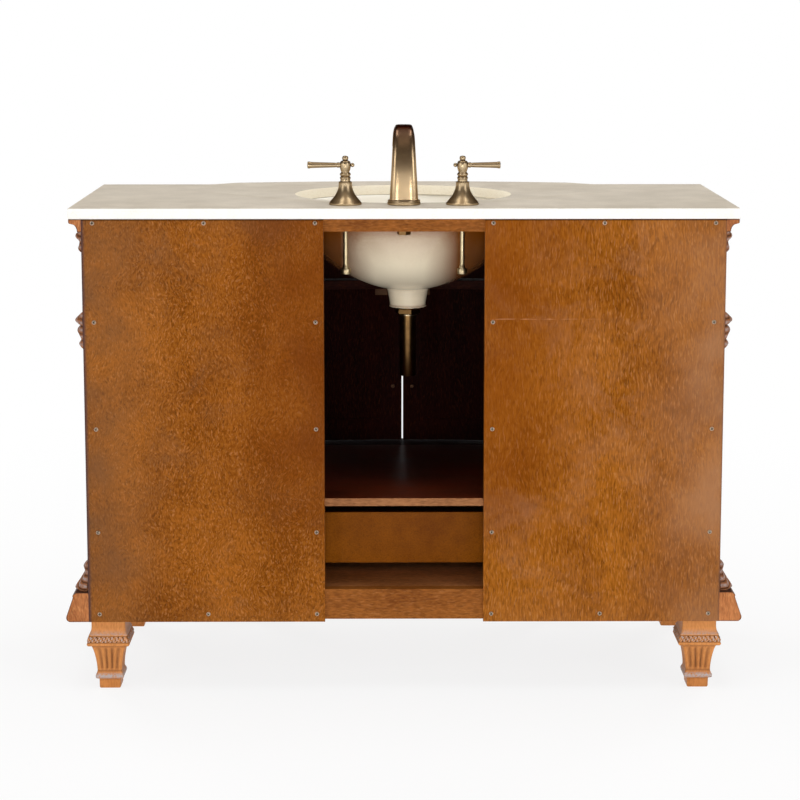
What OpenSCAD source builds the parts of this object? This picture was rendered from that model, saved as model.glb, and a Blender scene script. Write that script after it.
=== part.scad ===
// Bow-fronted bathroom vanity with an undermount basin and a three-piece tap.
// +Z is up, the doors face -Y, the screwed back panels face +Y, and left and right
// are those of a person standing in front of the doors: right is +X.
// The origin is on the floor, under the middle of the whole unit.

/* [Carcass] */
// How far the middle of the bow stands in front of the corner posts
bow_step = 71; // [66:1:80]
// Depth from the back panels to the middle of the bowed front
mid_d = 534; // [520:1:550]
// Radius of the bowed front, seen from above
bow_r = 1672; // [1500:1:2200]
// Half the width of the bowed centre bay, pilasters included
bay_half = 330; // [325:1:345]
// Height of the carcass's lower edge above the floor
base_z = 134; // [120:1:150]
// Height of the worktop's underside above the floor
under_z = 887; // [880:1:920]
// Thickness of the back panels
back_t = 5; // [4:0.5:6]
// Width of the opening left between the two back panels
gap_w = 294; // [260:1:300]
// Side of the square rear corner posts
rear_post = 45; // [42:1:50]
// Side of the square front corner posts
front_post = 50; // [45:1:60]
// Width of each pilaster beside the doors
pilaster_w = 50; // [45:1:55]
// How far the backs of the pilasters stand in front of the corner posts' faces
pilaster_step = 7; // [5:1:10]
// Thickness of the two inner partitions
partition_t = 18; // [16:1:20]
// Thickness of the recessed side panels
side_panel_t = 12; // [9:1:15]
// How far the side panels lie behind the faces of the posts
side_recess = 8; // [5:1:10]
// Height of the rails that frame each side panel
side_rail_h = 70; // [60:1:90]
// Thickness of the boards of the back frame
frame_t = 19; // [16:1:22]
// Width of the two uprights beside the back opening
upright_w = 30; // [28:1:36]
// Height of the rails under the worktop
top_rail_h = 23; // [20:1:30]
// Gap between the back frame's lower rail and the carcass's lower edge
lower_rail_lift = 4; // [0:1:8]
// Height of the bottom board's upper face above the carcass's lower edge
floor_rise = 61; // [58:1:66]
// Thickness of the bottom board
floor_t = 18; // [16:1:20]
// Height of the centre shelf's upper face above the floor
shelf_z = 368; // [360:1:380]
// Thickness of the centre shelf and of the rail in front of it
shelf_t = 15; // [12:1:18]
// Thickness of the front top and bottom rails, front to back
rail_t = 22; // [18:1:26]
// Depth of the rails between the drawers and over the doors
rail_d = 40; // [34:1:44]
// Height of the lower edge of the rail over the bottom side drawers
low_rail_z = 454; // [440:1:470]
// Height of that rail
low_rail_h = 16; // [14:1:20]
// Height of the lower edge of the rail over the doors
high_rail_z = 690; // [680:1:700]
// Height of that rail
high_rail_h = 18; // [14:1:20]

/* [Worktop] */
// Width of the stone top
top_w = 1220; // [1190:1:1260]
// Thickness of the stone top
top_t = 20; // [18:1:24]
// Overhang of the stone over the front faces of the carcass
top_over = 25; // [20:1:30]
// Overhang of the stone over the outer faces of the posts
top_side_over = 23.5; // [23:0.5:30]
// Half the width of the stone's bowed middle
top_bow_half = 328; // [320:1:335]
// Half the width at which the stone's curved steps end
top_step_half = 398; // [380:1:420]
// Length of the basin cut-out, side to side
cut_w = 420; // [400:1:430]
// Width of the stone left behind the cut-out
cut_back = 100.5; // [98:0.5:104]
// Distance from the cut-out to the bowed face of the carcass
cut_front = 58.5; // [56:0.5:64]
// Radius of the holes for the two valves
tap_hole_r = 17; // [15:0.5:18]
// Radius of the hole for the spout
spout_hole_r = 12; // [10:0.5:13]

/* [Basin] */
// How far the bowl's wall reaches under the stone at the ends of the cut-out
bowl_end_under = 8; // [6:0.5:10]
// How far it reaches under the stone in front of the cut-out and behind it
bowl_side_under = 7.5; // [6:0.5:9]
// Depth of the bowl below the rim
bowl_h = 160; // [150:1:165]
// Exponent of the bowl's rounded profile
bowl_power = 1.8; // [1.6:0.1:2.4]
// Wall of the bowl
bowl_wall = 7; // [6:0.5:8]
// Sideways shift of the bowl and the waste from the middle
bowl_x = -9; // [-12:1:0]
// Thickness of the rim under the stone
rim_t = 10; // [8:1:12]
// How far the rim reaches under the stone at the ends of the cut-out
rim_end_under = 22; // [18:0.5:26]
// How far the rim reaches under the stone in front of the cut-out and behind it
rim_side_under = 13.5; // [12:0.5:15]
// Length of the neck under the bowl
neck_h = 35; // [30:1:40]
// Radius of the neck where it leaves the bowl
neck_top_r = 40; // [38:1:44]
// Radius of the neck's lower end
neck_low_r = 34; // [30:1:37]

/* [Waste] */
// Radius of the waste's threaded barrel
barrel_r = 19; // [18:0.5:21]
// Inner radius of the barrel
barrel_bore_r = 16.2; // [16.1:0.1:17]
// Radius of the waste's flange in the bowl
waste_flange_r = 31; // [28:1:34]
// Thickness of that flange
waste_flange_t = 3; // [2:0.5:4]
// Outer radius of the tailpiece
tail_r = 15.9; // [15:0.1:16]
// Wall of the tailpiece
tail_wall = 1.2; // [1:0.1:2]
// Height of the tailpiece's open lower end above the floor
tail_low_z = 548; // [520:1:580]
// Length of tailpiece inside the barrel
tail_in = 18; // [12:1:22]
// Radius of the nut under the neck
waste_nut_r = 25; // [23:1:28]
// Height of that nut
waste_nut_h = 14; // [10:1:16]
// Radius of the stopper's cap
stopper_r = 22; // [20:1:25]
// Radius of the stopper's stem
stem_r = 4; // [3:0.5:5]

/* [Taps] */
// Distance from the back of the unit to the line of the taps
tap_d = 70; // [64:1:72]
// Distance between the axes of the two valves
tap_spread = 216; // [203:1:230]
// Height of the valve bodies to the neck under the lever
bell_h = 41; // [36:1:46]
// Radius of the valve bodies at the stone
bell_r = 30; // [28:1:32]
// Radius of the valve bodies at their top
bell_top_r = 12; // [10:0.5:14]
// Length of each lever, from its axis
lever_len = 70; // [60:1:80]
// Height of the spout above the stone
spout_h = 148; // [130:1:160]
// Width of the spout at its foot
spout_w = 52.5; // [48:0.5:56]
// Width of the spout at its top
spout_top_w = 39.5; // [36:0.5:44]
// Reach of the spout, from its foot's axis to its lip
spout_reach = 118; // [100:1:140]
// Radius of the supply tubes
tube_r = 4.25; // [4:0.25:5]
// Height of the lower end of the supply nuts above the floor
supply_z = 778; // [760:1:800]
// Radius of the supply nuts
supply_nut_r = 9.5; // [9:0.5:11]
// Height of the supply nuts
supply_nut_h = 10; // [9:1:14]
// Radius of the supply nuts' bore
supply_bore_r = 5; // [4.5:0.5:6]

/* [Doors and drawers] */
// Gap round each door and drawer front
front_gap = 1.5; // [1:0.1:2]
// Thickness of doors, drawer fronts and false front
front_t = 20; // [18:1:22]
// Width of the door stiles and rails
stile_w = 45; // [40:1:55]
// Height of the knobs on the doors above the floor
door_knob_z = 483; // [440:1:600]
// Distance from the middle of the unit to the door knobs
door_knob_x = 20; // [16:1:30]
// Distance from a bow-front drawer's middle to each of its two knobs
wide_knob_x = 120; // [90:1:150]
// Length of the drawer boxes behind their fronts
box_len = 350; // [300:1:380]
// Thickness of drawer sides and backs
box_t = 12; // [10:1:15]
// Thickness of drawer bottoms
box_floor_t = 6; // [4:1:8]
// Play between a side drawer's box and the partition
box_play = 3; // [2:0.5:5]
// Gap between a side drawer's box and the lower edge of its opening
box_lift = 11; // [8:1:16]
// Gap between a side drawer's box and the upper edge of its opening
box_drop = 20; // [14:1:30]
// Height of the centre drawer's box
wide_box_h = 99; // [80:1:110]
// Gap between the centre drawer's box and the lower edge of its opening
wide_box_lift = 14; // [10:1:20]
// Thickness of the centre drawer's front in its middle, where its face is bowed and its back flat
wide_front_t = 46; // [44:1:50]
// Width of the border round the sunk channel of each front
front_border = 22; // [16:1:28]
// Width of that channel
channel_w = 10; // [8:1:12]
// Depth of that channel
channel_sunk = 4; // [3:0.5:5]
// Play between the centre drawer's box and each pilaster
wide_box_play = 6; // [4:0.5:20]
// Height of the groove in the drawer sides
groove_h = 12.6; // [10:0.2:16]
// Depth of that groove
groove_d = 8; // [6:0.5:9]
// Height of the runner bars outside the groove
runner_h = 30; // [20:1:40]
// Radius of the knobs
knob_r = 15; // [12:1:18]
// Projection of the knobs
knob_len = 28; // [24:1:34]
// Height of each hinge
hinge_h = 60; // [50:1:75]
// Distance from a door's end to the middle of its hinge
hinge_inset = 62; // [50:1:80]
// Radius of the hinge knuckles
knuckle_r = 3.5; // [3:0.1:3.6]

/* [Mouldings and carvings] */
// Projection of the crown moulding under the worktop
crown_out = 22.6; // [18:0.1:23]
// Projection of the plinth moulding
plinth_out = 42; // [36:1:48]
// Height of the plinth moulding
plinth_h = 56; // [50:1:58]
// Width of the carved ornaments on the posts
leaf_w = 36; // [30:1:40]
// Projection of the carved ornament under the crown
top_leaf_out = 13.5; // [10:0.5:16]
// Projection of the carved bracket between the crown and the plinth
mid_leaf_out = 17.4; // [12:0.2:20]
// Height of the bracket's lower end above the floor
mid_leaf_z = 646; // [600:1:700]
// Projection of the carved ornament on the plinth
low_leaf_out = 28; // [24:1:30]

/* [Feet] */
// Distance from the carcass's lower edge to the lower edge of the feet's capitals
foot_cap_drop = 46; // [40:1:50]
// Side of the foot's block on the floor
foot_base = 40; // [36:1:44]
// Side of the foot's collar
foot_collar = 53; // [48:1:58]
// Side of the foot's narrowest place over the collar
foot_waist = 46; // [42:1:50]
// Side of the fluted part under the capital
foot_shoulder = 64; // [58:1:68]
// Side of the foot's capital
foot_cap = 80; // [74:1:84]
// Side of the foot's neck
foot_neck = 63; // [58:1:66]
// Distance from the posts' outer faces to the middle of the corner feet
side_foot_in = 34.5; // [32:0.5:40]
// Distance from the back to the middle of the rear feet
rear_foot_d = 41; // [40:1:60]
// Distance from the front posts' faces to the middle of the front corner feet
front_foot_in = 37; // [32:1:45]
// Distance from the unit's middle to the two feet under the pilasters
mid_foot_x = 300; // [290:1:305]

/* [Fasteners] */
// Distance from the panels' upper edge to their top screws
screw_top_in = 7; // [6:1:12]
// Distance from the panels' lower edge to their bottom screws
screw_low_in = 15; // [10:1:20]
// Distance from the panels' outer edges to the screws along them
screw_side_in = 20.5; // [15:0.5:25]
// Radius of the back panels' screw heads
screw_head_r = 4; // [3.5:0.1:5]
// Radius of those screws
screw_r = 1.75; // [1.5:0.05:2]
// Height of those heads
screw_head_h = 2; // [1.5:0.1:2.5]
// Depth of those screws in the frame
screw_len = 18; // [14:1:20]

/* [Hidden] */

wood = [0.60, 0.38, 0.20];
light_wood = [0.72, 0.47, 0.28];
dark_wood = [0.33, 0.18, 0.10];
brass = [0.62, 0.50, 0.30];
stone = [0.80, 0.77, 0.71];
cream = [0.93, 0.88, 0.78];
steel = [0.70, 0.70, 0.68];

// Overshoot of every cutting solid
over = 1;
// Gap between two curved faces that are glued or screwed together
seat_gap = 0.1;
// Half the glue line of a mitre
mitre_gap = 0.05;
// Running clearance between pieces that move past each other
run_gap = 0.3;
// Radial clearance of a turning pin in its bore
pin_gap = 0.06;
// Facets of the large bow circles and of small round pieces
bow_fn = 720;
round_fn = 48;

side_d = mid_d - bow_step;
pilaster_back_d = side_d + pilaster_step;
back_y = (mid_d + plinth_out - screw_head_h) / 2;
bow_cy = back_y - mid_d + bow_r;
half_w = top_w / 2 - top_side_over;
foot_x = half_w - side_foot_in;
cut_d = mid_d - cut_back - cut_front;
cut_mid_d = cut_back + cut_d / 2;
bowl_a = cut_w / 2 + bowl_end_under;
bowl_b = cut_d / 2 + bowl_side_under;
rim_a = cut_w / 2 + rim_end_under;
rim_b = cut_d / 2 + rim_side_under;
top_z = under_z + top_t;
floor_z = base_z + floor_rise;
gap_half = gap_w / 2;
frame_d = back_t + frame_t;
door_out = bay_half - pilaster_w;
partition_in = bay_half - partition_t;
side_in = half_w - side_recess - side_panel_t;
front_post_in = half_w - front_post;
top_rail_z = under_z - top_rail_h;
rim_low_z = under_z - rim_t;
neck_sink = 3;
neck_top_z = rim_low_z - bowl_h + neck_sink;
neck_low_z = neck_top_z - neck_h;
seat_cut = 2;
waste_seat_z = rim_low_z - bowl_h + bowl_wall + seat_cut;
nut_clear = 3;
barrel_low_z = neck_low_z - waste_nut_h - nut_clear;
rows = [[floor_z, low_rail_z], [low_rail_z + low_rail_h, high_rail_z],
        [high_rail_z + high_rail_h, top_rail_z]];
wide_row = [floor_z, shelf_z - shelf_t];
door_row = [shelf_z, high_rail_z];
wide_box_back_d = mid_d - wide_front_t - box_len;
wide_box_z = floor_z + wide_box_lift;
wide_box_half = door_out - wide_box_play;
knob_screw_r = 2;
hinge_leaf_t = 1;
hinge_leaf_w = 18;
hinge_pin_r = 1.5;
hinge_x = door_out - front_gap / 2;
knuckle_gap = 0.5;
hinge_y = bow_cy - sqrt(bow_r * bow_r - hinge_x * hinge_x) - knuckle_r - knuckle_gap;
hinge_zs = [door_row[0] + front_gap + hinge_inset, door_row[1] - front_gap - hinge_inset];

// Place at a distance from the back of the unit
function dy(d) = back_y - d;
// Front face of the bow at a distance from the middle, with an offset outwards
function bow_y(x, out = 0) = bow_cy - sqrt(pow(bow_r + out, 2) - x * x);
// Points of an oval
function oval(a, b, n = 72) = [for (i = [0 : n - 1]) [a * cos(360 * i / n), b * sin(360 * i / n)]];
// Quarter of a superellipse from its widest place, a away from the axis, down to depth b
function bowl_side(a, b, n = 14) = [
    for (i = [0 : n]) let (t = 90 * i / n)
        [a * pow(cos(t), 2 / bowl_power), -b * pow(sin(t), 2 / bowl_power)]
];
// Mirrored copy of a list of points, in reverse order
function flip(points) = [for (i = [len(points) - 1 : -1 : 0]) [-points[i][0], points[i][1]]];

// Box from its low corner to its high corner
module block(lo, hi) {
    translate(lo) cube(hi - lo);
}

// The children on the right, or mirrored to the left
module sided(side) {
    if (side == "left") mirror([1, 0, 0]) children();
    else children();
}

module both_sides() {
    children();
    mirror([1, 0, 0]) children();
}

// Curved board between two depths behind the bowed face
module bow_board(front, back, x0, x1, z0, z1) {
    intersection() {
        translate([0, bow_cy, z0]) difference() {
            cylinder(h = z1 - z0, r = bow_r - front, $fn = bow_fn);
            translate([0, 0, -over]) cylinder(h = z1 - z0 + 2 * over, r = bow_r - back, $fn = bow_fn);
        }
        block([x0, dy(mid_d) - over, z0 - over], [x1, 0, z1 + over]);
    }
}

// Board with a flat back and the bowed face in front
module bow_solid(x0, x1, back_d, z0, z1) {
    intersection() {
        block([x0, dy(mid_d) - over, z0], [x1, dy(back_d), z1]);
        translate([0, bow_cy, z0 - over]) cylinder(h = z1 - z0 + 2 * over, r = bow_r, $fn = bow_fn);
    }
}

// Puts what faces -Y at the origin square on the bowed face
module on_bow(x, z) {
    translate([0, bow_cy, z]) rotate([0, 0, asin(x / bow_r)]) translate([0, -bow_r, 0]) children();
}

// Turns what stands on +Z so that it points to the front
module to_front() {
    rotate([90, 0, 0]) children();
}

// Where the screws of one back panel go: its outer edge, its edge by the opening, and its ends
screw_low_z = base_z + screw_low_in;
screw_rows = [for (share = [0, 0.213, 0.479, 0.751, 1])
    screw_low_z + share * (under_z - screw_top_in - screw_low_z)];
screw_out_x = half_w - screw_side_in;
screw_in_x = gap_half + upright_w / 2;
screw_mid_x = (screw_out_x + screw_in_x) / 2;
module at_screws() {
    for (z = screw_rows, x = [screw_in_x, screw_out_x]) translate([x, 0, z]) children();
    for (z = [screw_rows[0], screw_rows[4]]) translate([screw_mid_x, 0, z]) children();
}

// Bores for the panel screws
module screw_bores(r) {
    both_sides() at_screws() translate([0, dy(back_t + screw_len + over), 0])
        rotate([-90, 0, 0]) cylinder(h = back_t + screw_len + 2 * over, r = r, $fn = round_fn);
}

// Outline of the stone: straight sides, a bow in front and a curved step at each end of it
function stone_step(n = 8) = [
    for (i = [0 : n])
        [top_step_half + (top_bow_half - top_step_half) * i / n,
         dy(side_d + top_over) + (bow_y(top_bow_half, top_over) - dy(side_d + top_over))
         * (1 - cos(180 * i / n)) / 2]
];
function stone_bow(n = 24) = [
    for (i = [1 : n - 1]) let (x = top_bow_half * (1 - 2 * i / n)) [x, bow_y(x, top_over)]
];

module countertop() {
    right = concat([[top_w / 2, back_y], [top_w / 2, dy(side_d + top_over)]], stone_step());
    color(stone) difference() {
        translate([0, 0, under_z]) linear_extrude(top_t)
            polygon(concat(right, stone_bow(), flip(right)));
        translate([0, dy(cut_mid_d), under_z - over]) linear_extrude(top_t + 2 * over)
            polygon(oval(cut_w / 2, cut_d / 2));
        for (hole = [[-tap_spread / 2, tap_hole_r], [0, spout_hole_r], [tap_spread / 2, tap_hole_r]])
            translate([hole[0], dy(tap_d), under_z - over])
                cylinder(h = top_t + 2 * over, r = hole[1], $fn = round_fn);
    }
}

// Recessed panel between the posts with a rail at its head and foot
module side_panel(side) {
    color(wood) sided(side) {
        block([side_in, dy(side_d - front_post), base_z],
              [side_in + side_panel_t, dy(back_t + rear_post), under_z]);
        for (z = [base_z, under_z - side_rail_h])
            block([side_in + side_panel_t, dy(side_d - front_post), z],
                  [half_w, dy(back_t + rear_post), z + side_rail_h]);
    }
}
module side_panel_left() side_panel("left");
module side_panel_right() side_panel("right");

// Four corner posts and the two pilasters, with the hinge mortises and screw bores
module posts() {
    color(wood) difference() {
        both_sides() {
            block([half_w - rear_post, dy(back_t + rear_post), base_z], [half_w, dy(back_t), under_z]);
            block([front_post_in, dy(side_d), base_z], [half_w, dy(side_d - front_post), under_z]);
            bow_solid(door_out, bay_half, pilaster_back_d, base_z, under_z);
        }
        both_sides() for (z = hinge_zs)
            block([door_out - over, hinge_y, z - hinge_h / 2],
                  [door_out + hinge_leaf_t, hinge_y + knuckle_r + hinge_leaf_w, z + hinge_h / 2]);
        screw_bores(screw_r + pin_gap);
    }
}

module partitions() {
    color(dark_wood) both_sides()
        block([partition_in, dy(pilaster_back_d), floor_z], [bay_half, dy(frame_d), under_z]);
}

module bottom_board() {
    color(dark_wood) {
        block([-front_post_in, dy(side_d), floor_z - floor_t], [front_post_in, dy(frame_d), floor_z]);
        block([-side_in, dy(side_d - front_post), floor_z - floor_t],
              [side_in, dy(back_t + rear_post), floor_z]);
        bow_solid(-door_out, door_out, side_d, floor_z - floor_t, floor_z);
    }
}

// The shelf reaches back between the uprights of the back opening
module center_shelf() {
    color(dark_wood) {
        block([-partition_in, dy(pilaster_back_d), shelf_z - shelf_t], [partition_in, dy(frame_d), shelf_z]);
        block([-gap_half, dy(frame_d), shelf_z - shelf_t], [gap_half, dy(back_t), shelf_z]);
    }
}

module back_panel(side) {
    color(wood) difference() {
        sided(side) block([gap_half, dy(back_t), base_z], [half_w, back_y, under_z]);
        screw_bores(screw_r + pin_gap);
    }
}
module back_panel_left() back_panel("left");
module back_panel_right() back_panel("right");

// Upper and lower rail from post to post, and the uprights beside the opening
module back_frame() {
    rail_half = half_w - rear_post;
    low_z = base_z + lower_rail_lift;
    color(wood) difference() {
        union() {
            block([-rail_half, dy(frame_d), top_rail_z], [rail_half, dy(back_t), under_z]);
            block([-rail_half, dy(frame_d), low_z], [rail_half, dy(back_t), floor_z]);
            both_sides() block([gap_half, dy(frame_d), low_z], [gap_half + upright_w, dy(back_t), under_z]);
        }
        screw_bores(screw_r + pin_gap);
    }
}

// Rails of the face frame: straight in the side bays, bowed in the centre bay
module front_rails() {
    color(wood) {
        for (z = [[base_z, floor_z - floor_t], [top_rail_z, under_z]]) {
            both_sides() block([bay_half, dy(side_d), z[0]], [front_post_in, dy(side_d - rail_t), z[1]]);
            bow_board(0, rail_t, -door_out, door_out, z[0], z[1]);
        }
        for (z = [[low_rail_z, low_rail_h], [high_rail_z, high_rail_h]])
            both_sides() block([bay_half, dy(side_d), z[0]],
                               [front_post_in, dy(side_d - rail_d), z[0] + z[1]]);
        bow_board(0, rail_d, -door_out, door_out, high_rail_z, high_rail_z + high_rail_h);
        bow_solid(-door_out, door_out, pilaster_back_d, shelf_z - shelf_t, shelf_z);
    }
}

// How far the corner of a moulding steps forward for each unit that it steps outwards
function bow_mitre(w) = (bow_y(bay_half) - bow_y(bay_half + w, w)) / w;

// Straight run of a moulding along +X whose outside faces -Y, mitred at its ends
module moulding_run(profile, len, w, start_mitre, end_mitre) {
    tall = 1000;
    x = [mitre_gap, len - mitre_gap];
    intersection() {
        translate([-2 * w, 0, 0]) rotate([90, 0, 90]) linear_extrude(len + 4 * w)
            polygon([for (p = profile) [-p[0], p[1]]]);
        linear_extrude(tall) polygon([
            [x[0], over], [x[1], over], [x[1], 0], [x[1] + end_mitre * 2 * w, -2 * w],
            [x[0] - start_mitre * 2 * w, -2 * w], [x[0], 0]
        ]);
    }
}

// A moulding round the sides and the front of the carcass: seven runs, glued at their mitres
module moulding(profile, w) {
    s = bow_mitre(w);
    step_d = side_d;
    both_sides() {
        translate([half_w, dy(step_d), 0]) rotate([0, 0, 90]) moulding_run(profile, step_d, w, 1, 0);
        translate([bay_half, dy(step_d), 0]) moulding_run(profile, half_w - bay_half, w, -1, 1);
        translate([bay_half, bow_y(bay_half), 0]) rotate([0, 0, 90])
            moulding_run(profile, dy(step_d) - bow_y(bay_half), w, s, -1);
    }
    reach = 4 * w;
    half = bay_half - mitre_gap;
    intersection() {
        translate([0, bow_cy, 0]) rotate_extrude(angle = 30, start = 255, $fn = bow_fn)
            translate([bow_r, 0]) polygon(profile);
        linear_extrude(under_z + over) polygon([
            [-half, bow_y(half) + over], [half, bow_y(half) + over], [half, bow_y(half)],
            [half + reach, bow_y(half) - s * reach], [-half - reach, bow_y(half) - s * reach],
            [-half, bow_y(half)]
        ]);
    }
}

// Fillet over a cove, under the stone
module crown_moulding() {
    low_out = 7;
    step_out = 16.7;
    fillet_h = 9;
    cove = [for (i = [0 : 6]) let (t = 15 * i)
        [step_out - (step_out - low_out) * sin(t),
         top_rail_z + (top_rail_h - fillet_h) * cos(t)]];
    color(wood) moulding(concat([[0, top_rail_z]], [for (i = [6 : -1 : 0]) cove[i]],
        [[crown_out, under_z - fillet_h], [crown_out, under_z], [0, under_z]]), crown_out);
}

// Sloping base with a rounded foot and a nose under its upper edge
module plinth_moulding() {
    round_r = 8;
    nose_out = 29;
    nose_z = base_z + plinth_h - 9;
    foot = [for (i = [0 : 5]) let (t = -90 + 22 * i)
        [plinth_out - round_r + round_r * cos(t), base_z + round_r + round_r * sin(t)]];
    color(wood) moulding(concat([[0, base_z]], foot,
        [[nose_out, nose_z], [nose_out - 1, nose_z + 5], [nose_out - 5, base_z + plinth_h],
         [0, base_z + plinth_h]]), plinth_out);
}

// Profile of the ornament under the crown, as [projection, height over its lower end]
function top_leaf(k) = [[0, 0], [k * 5, 0], [k * 9.3, 6], [k * 7, 19], [k * 13, 25],
    [k * top_leaf_out, 31], [k * 7, 37], [0, 37]];
// Profile of the bracket
function mid_leaf(k) = [[0, 0], [k * 1.5, 0], [k * 11.3, 8], [k * 7, 17], [k * 13.9, 33],
    [k * 7.8, 44.5], [k * 12.4, 45], [k * mid_leaf_out, 51], [k * 10, 62], [0, 70]];
// Profile of the ornament on the plinth
function low_leaf(k) = [[0, 0], [k * (low_leaf_out - 5), 0], [k * low_leaf_out, 4],
    [k * 9, 37], [k * 11.5, 44], [k * 4, 57], [0, 57]];

// A carved ornament on a face towards +X: a full rib between two lower lobes
module leaf_lobes(shape_full, shape_low) {
    lobe_w = leaf_w / 3;
    rotate([90, 0, 0]) {
        translate([0, 0, -lobe_w / 2]) linear_extrude(lobe_w) polygon(shape_full);
        for (s = [-1, 1]) translate([0, 0, s * lobe_w - lobe_w / 2]) linear_extrude(lobe_w)
            polygon(shape_low);
    }
}

// The three ornaments of one post face
module leaf_column() {
    low_share = 0.72;
    translate([0, 0, top_rail_z - 38]) leaf_lobes(top_leaf(1), top_leaf(low_share));
    translate([0, 0, mid_leaf_z]) leaf_lobes(mid_leaf(1), mid_leaf(low_share));
    translate([0, 0, base_z + plinth_h]) leaf_lobes(low_leaf(1), low_leaf(low_share));
}

module leaf_carvings() {
    pilaster_mid = bay_half - pilaster_w / 2;
    color(light_wood) both_sides() {
        translate([half_w, dy(back_t + rear_post / 2), 0]) leaf_column();
        translate([half_w, dy(side_d - front_post / 2), 0]) leaf_column();
        translate([half_w - front_post / 2, dy(side_d), 0]) rotate([0, 0, -90]) leaf_column();
        on_bow(pilaster_mid, 0) rotate([0, 0, -90]) leaf_column();
    }
}

// Half the side of a foot against its height
block_h = 20;
collar_top = 31;
flute_low = 34;
cap_low = base_z - foot_cap_drop;
foot_outline = concat(
    [[foot_base / 2, 0], [foot_base / 2, block_h], [foot_collar / 2, block_h],
     [foot_collar / 2, collar_top], [foot_waist / 2, flute_low]],
    [for (i = [1 : 6]) let (t = i / 6)
        [foot_waist / 2 + (foot_shoulder - foot_waist) / 2 * pow(t, 1.6),
         flute_low + (cap_low - flute_low) * t]],
    [[foot_cap / 2 - 2, cap_low + 2], [foot_cap / 2, cap_low + 10], [foot_cap / 2 - 3, cap_low + 20],
     [foot_neck / 2, base_z - 12], [foot_neck / 2, base_z]]
);

// Square-plan foot: the same outline seen from both sides
module foot() {
    outline = concat(foot_outline, flip(foot_outline));
    intersection() {
        translate([0, foot_cap, 0]) rotate([90, 0, 0]) linear_extrude(2 * foot_cap) polygon(outline);
        translate([-foot_cap, 0, 0]) rotate([90, 0, 90]) linear_extrude(2 * foot_cap) polygon(outline);
    }
}

module feet() {
    color(light_wood) both_sides() {
        translate([foot_x, dy(rear_foot_d), 0]) foot();
        translate([foot_x, dy(side_d - front_foot_in), 0]) foot();
        translate([mid_foot_x, dy(pilaster_back_d), 0]) foot();
    }
}

// Straight front of a side drawer with a sunk channel round its raised field
module flat_front(x0, x1, z0, z1) {
    inset = front_border + channel_w;
    difference() {
        block([x0, dy(side_d), z0], [x1, dy(side_d - front_t), z1]);
        difference() {
            block([x0 + front_border, dy(side_d) - over, z0 + front_border],
                  [x1 - front_border, dy(side_d) + channel_sunk, z1 - front_border]);
            block([x0 + inset, dy(side_d) - 2 * over, z0 + inset],
                  [x1 - inset, dy(side_d) + channel_sunk + over, z1 - inset]);
        }
    }
}

// The same channel, to be cut into a bowed front
module bow_channel(x0, x1, z0, z1) {
    inset = front_border + channel_w;
    difference() {
        bow_board(-over, channel_sunk, x0 + front_border, x1 - front_border, z0 + front_border,
                  z1 - front_border);
        bow_board(-2 * over, channel_sunk + over, x0 + inset, x1 - inset, z0 + inset, z1 - inset);
    }
}

// Fixed front over the doors, where the basin leaves no room for a drawer, and its two blocks
module false_front() {
    half = door_out - front_gap;
    z = [rows[2][0] + front_gap, rows[2][1] - front_gap];
    block_t = 16;
    block_w = 30;
    block_x = half - 40;
    color(wood) {
        difference() {
            bow_board(0, front_t, -half, half, z[0], z[1]);
            bow_channel(-half, half, z[0], z[1]);
        }
        both_sides()
            bow_board(front_t, front_t + block_t, block_x - block_w, block_x, rows[2][0], rows[2][1]);
    }
}

// Solid under a superellipse profile, turned about the bowl's axis and drawn in front to back
module bowl_solid(a, b, h, head) {
    scale([1, b / a, 1]) rotate_extrude($fn = 96)
        polygon(concat([[0, head]], [[a, head]], bowl_side(a, h)));
}

// Undermount basin: an oval rim, the bowl, and the round neck for the waste
module sink_basin() {
    color(cream) translate([bowl_x, dy(cut_mid_d), 0]) difference() {
        union() {
            translate([0, 0, rim_low_z]) linear_extrude(rim_t) polygon(oval(rim_a, rim_b));
            translate([0, 0, rim_low_z]) bowl_solid(bowl_a, bowl_b, bowl_h, rim_t / 2);
            translate([0, 0, neck_low_z])
                cylinder(h = neck_h + neck_sink, r1 = neck_low_r, r2 = neck_top_r, $fn = round_fn);
        }
        translate([0, 0, rim_low_z])
            bowl_solid(bowl_a - bowl_wall, bowl_b - bowl_wall, bowl_h - bowl_wall, rim_t + over);
        translate([0, 0, waste_seat_z])
            cylinder(h = bowl_wall, r = waste_flange_r + run_gap, $fn = round_fn);
        translate([0, 0, neck_low_z - over])
            cylinder(h = waste_seat_z - neck_low_z + 2 * over, r = barrel_r + run_gap, $fn = round_fn);
    }
}

// Clamps screwed to the stone's underside, each holding up the rim
module sink_clips() {
    clip_w = 14;
    clip_t = 3;
    clip_in = 14;
    clip_out = 6;
    bolt_r = 3;
    bolt_h = 22;
    bolt_nut_r = 6;
    off = 9;
    color(steel) for (t = [38, 142, 218, 322])
        translate([bowl_x + (rim_a + off) * cos(t), dy(cut_mid_d) + (rim_b + off) * sin(t), 0])
            rotate([0, 0, t]) {
                block([-clip_in, -clip_w / 2, rim_low_z - clip_t], [clip_out, clip_w / 2, rim_low_z]);
                translate([0, 0, under_z - bolt_h]) cylinder(h = bolt_h, r = bolt_r, $fn = round_fn);
                translate([0, 0, rim_low_z - 2 * clip_t])
                    cylinder(h = clip_t + over, r = bolt_nut_r, $fn = 6);
            }
}

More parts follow.
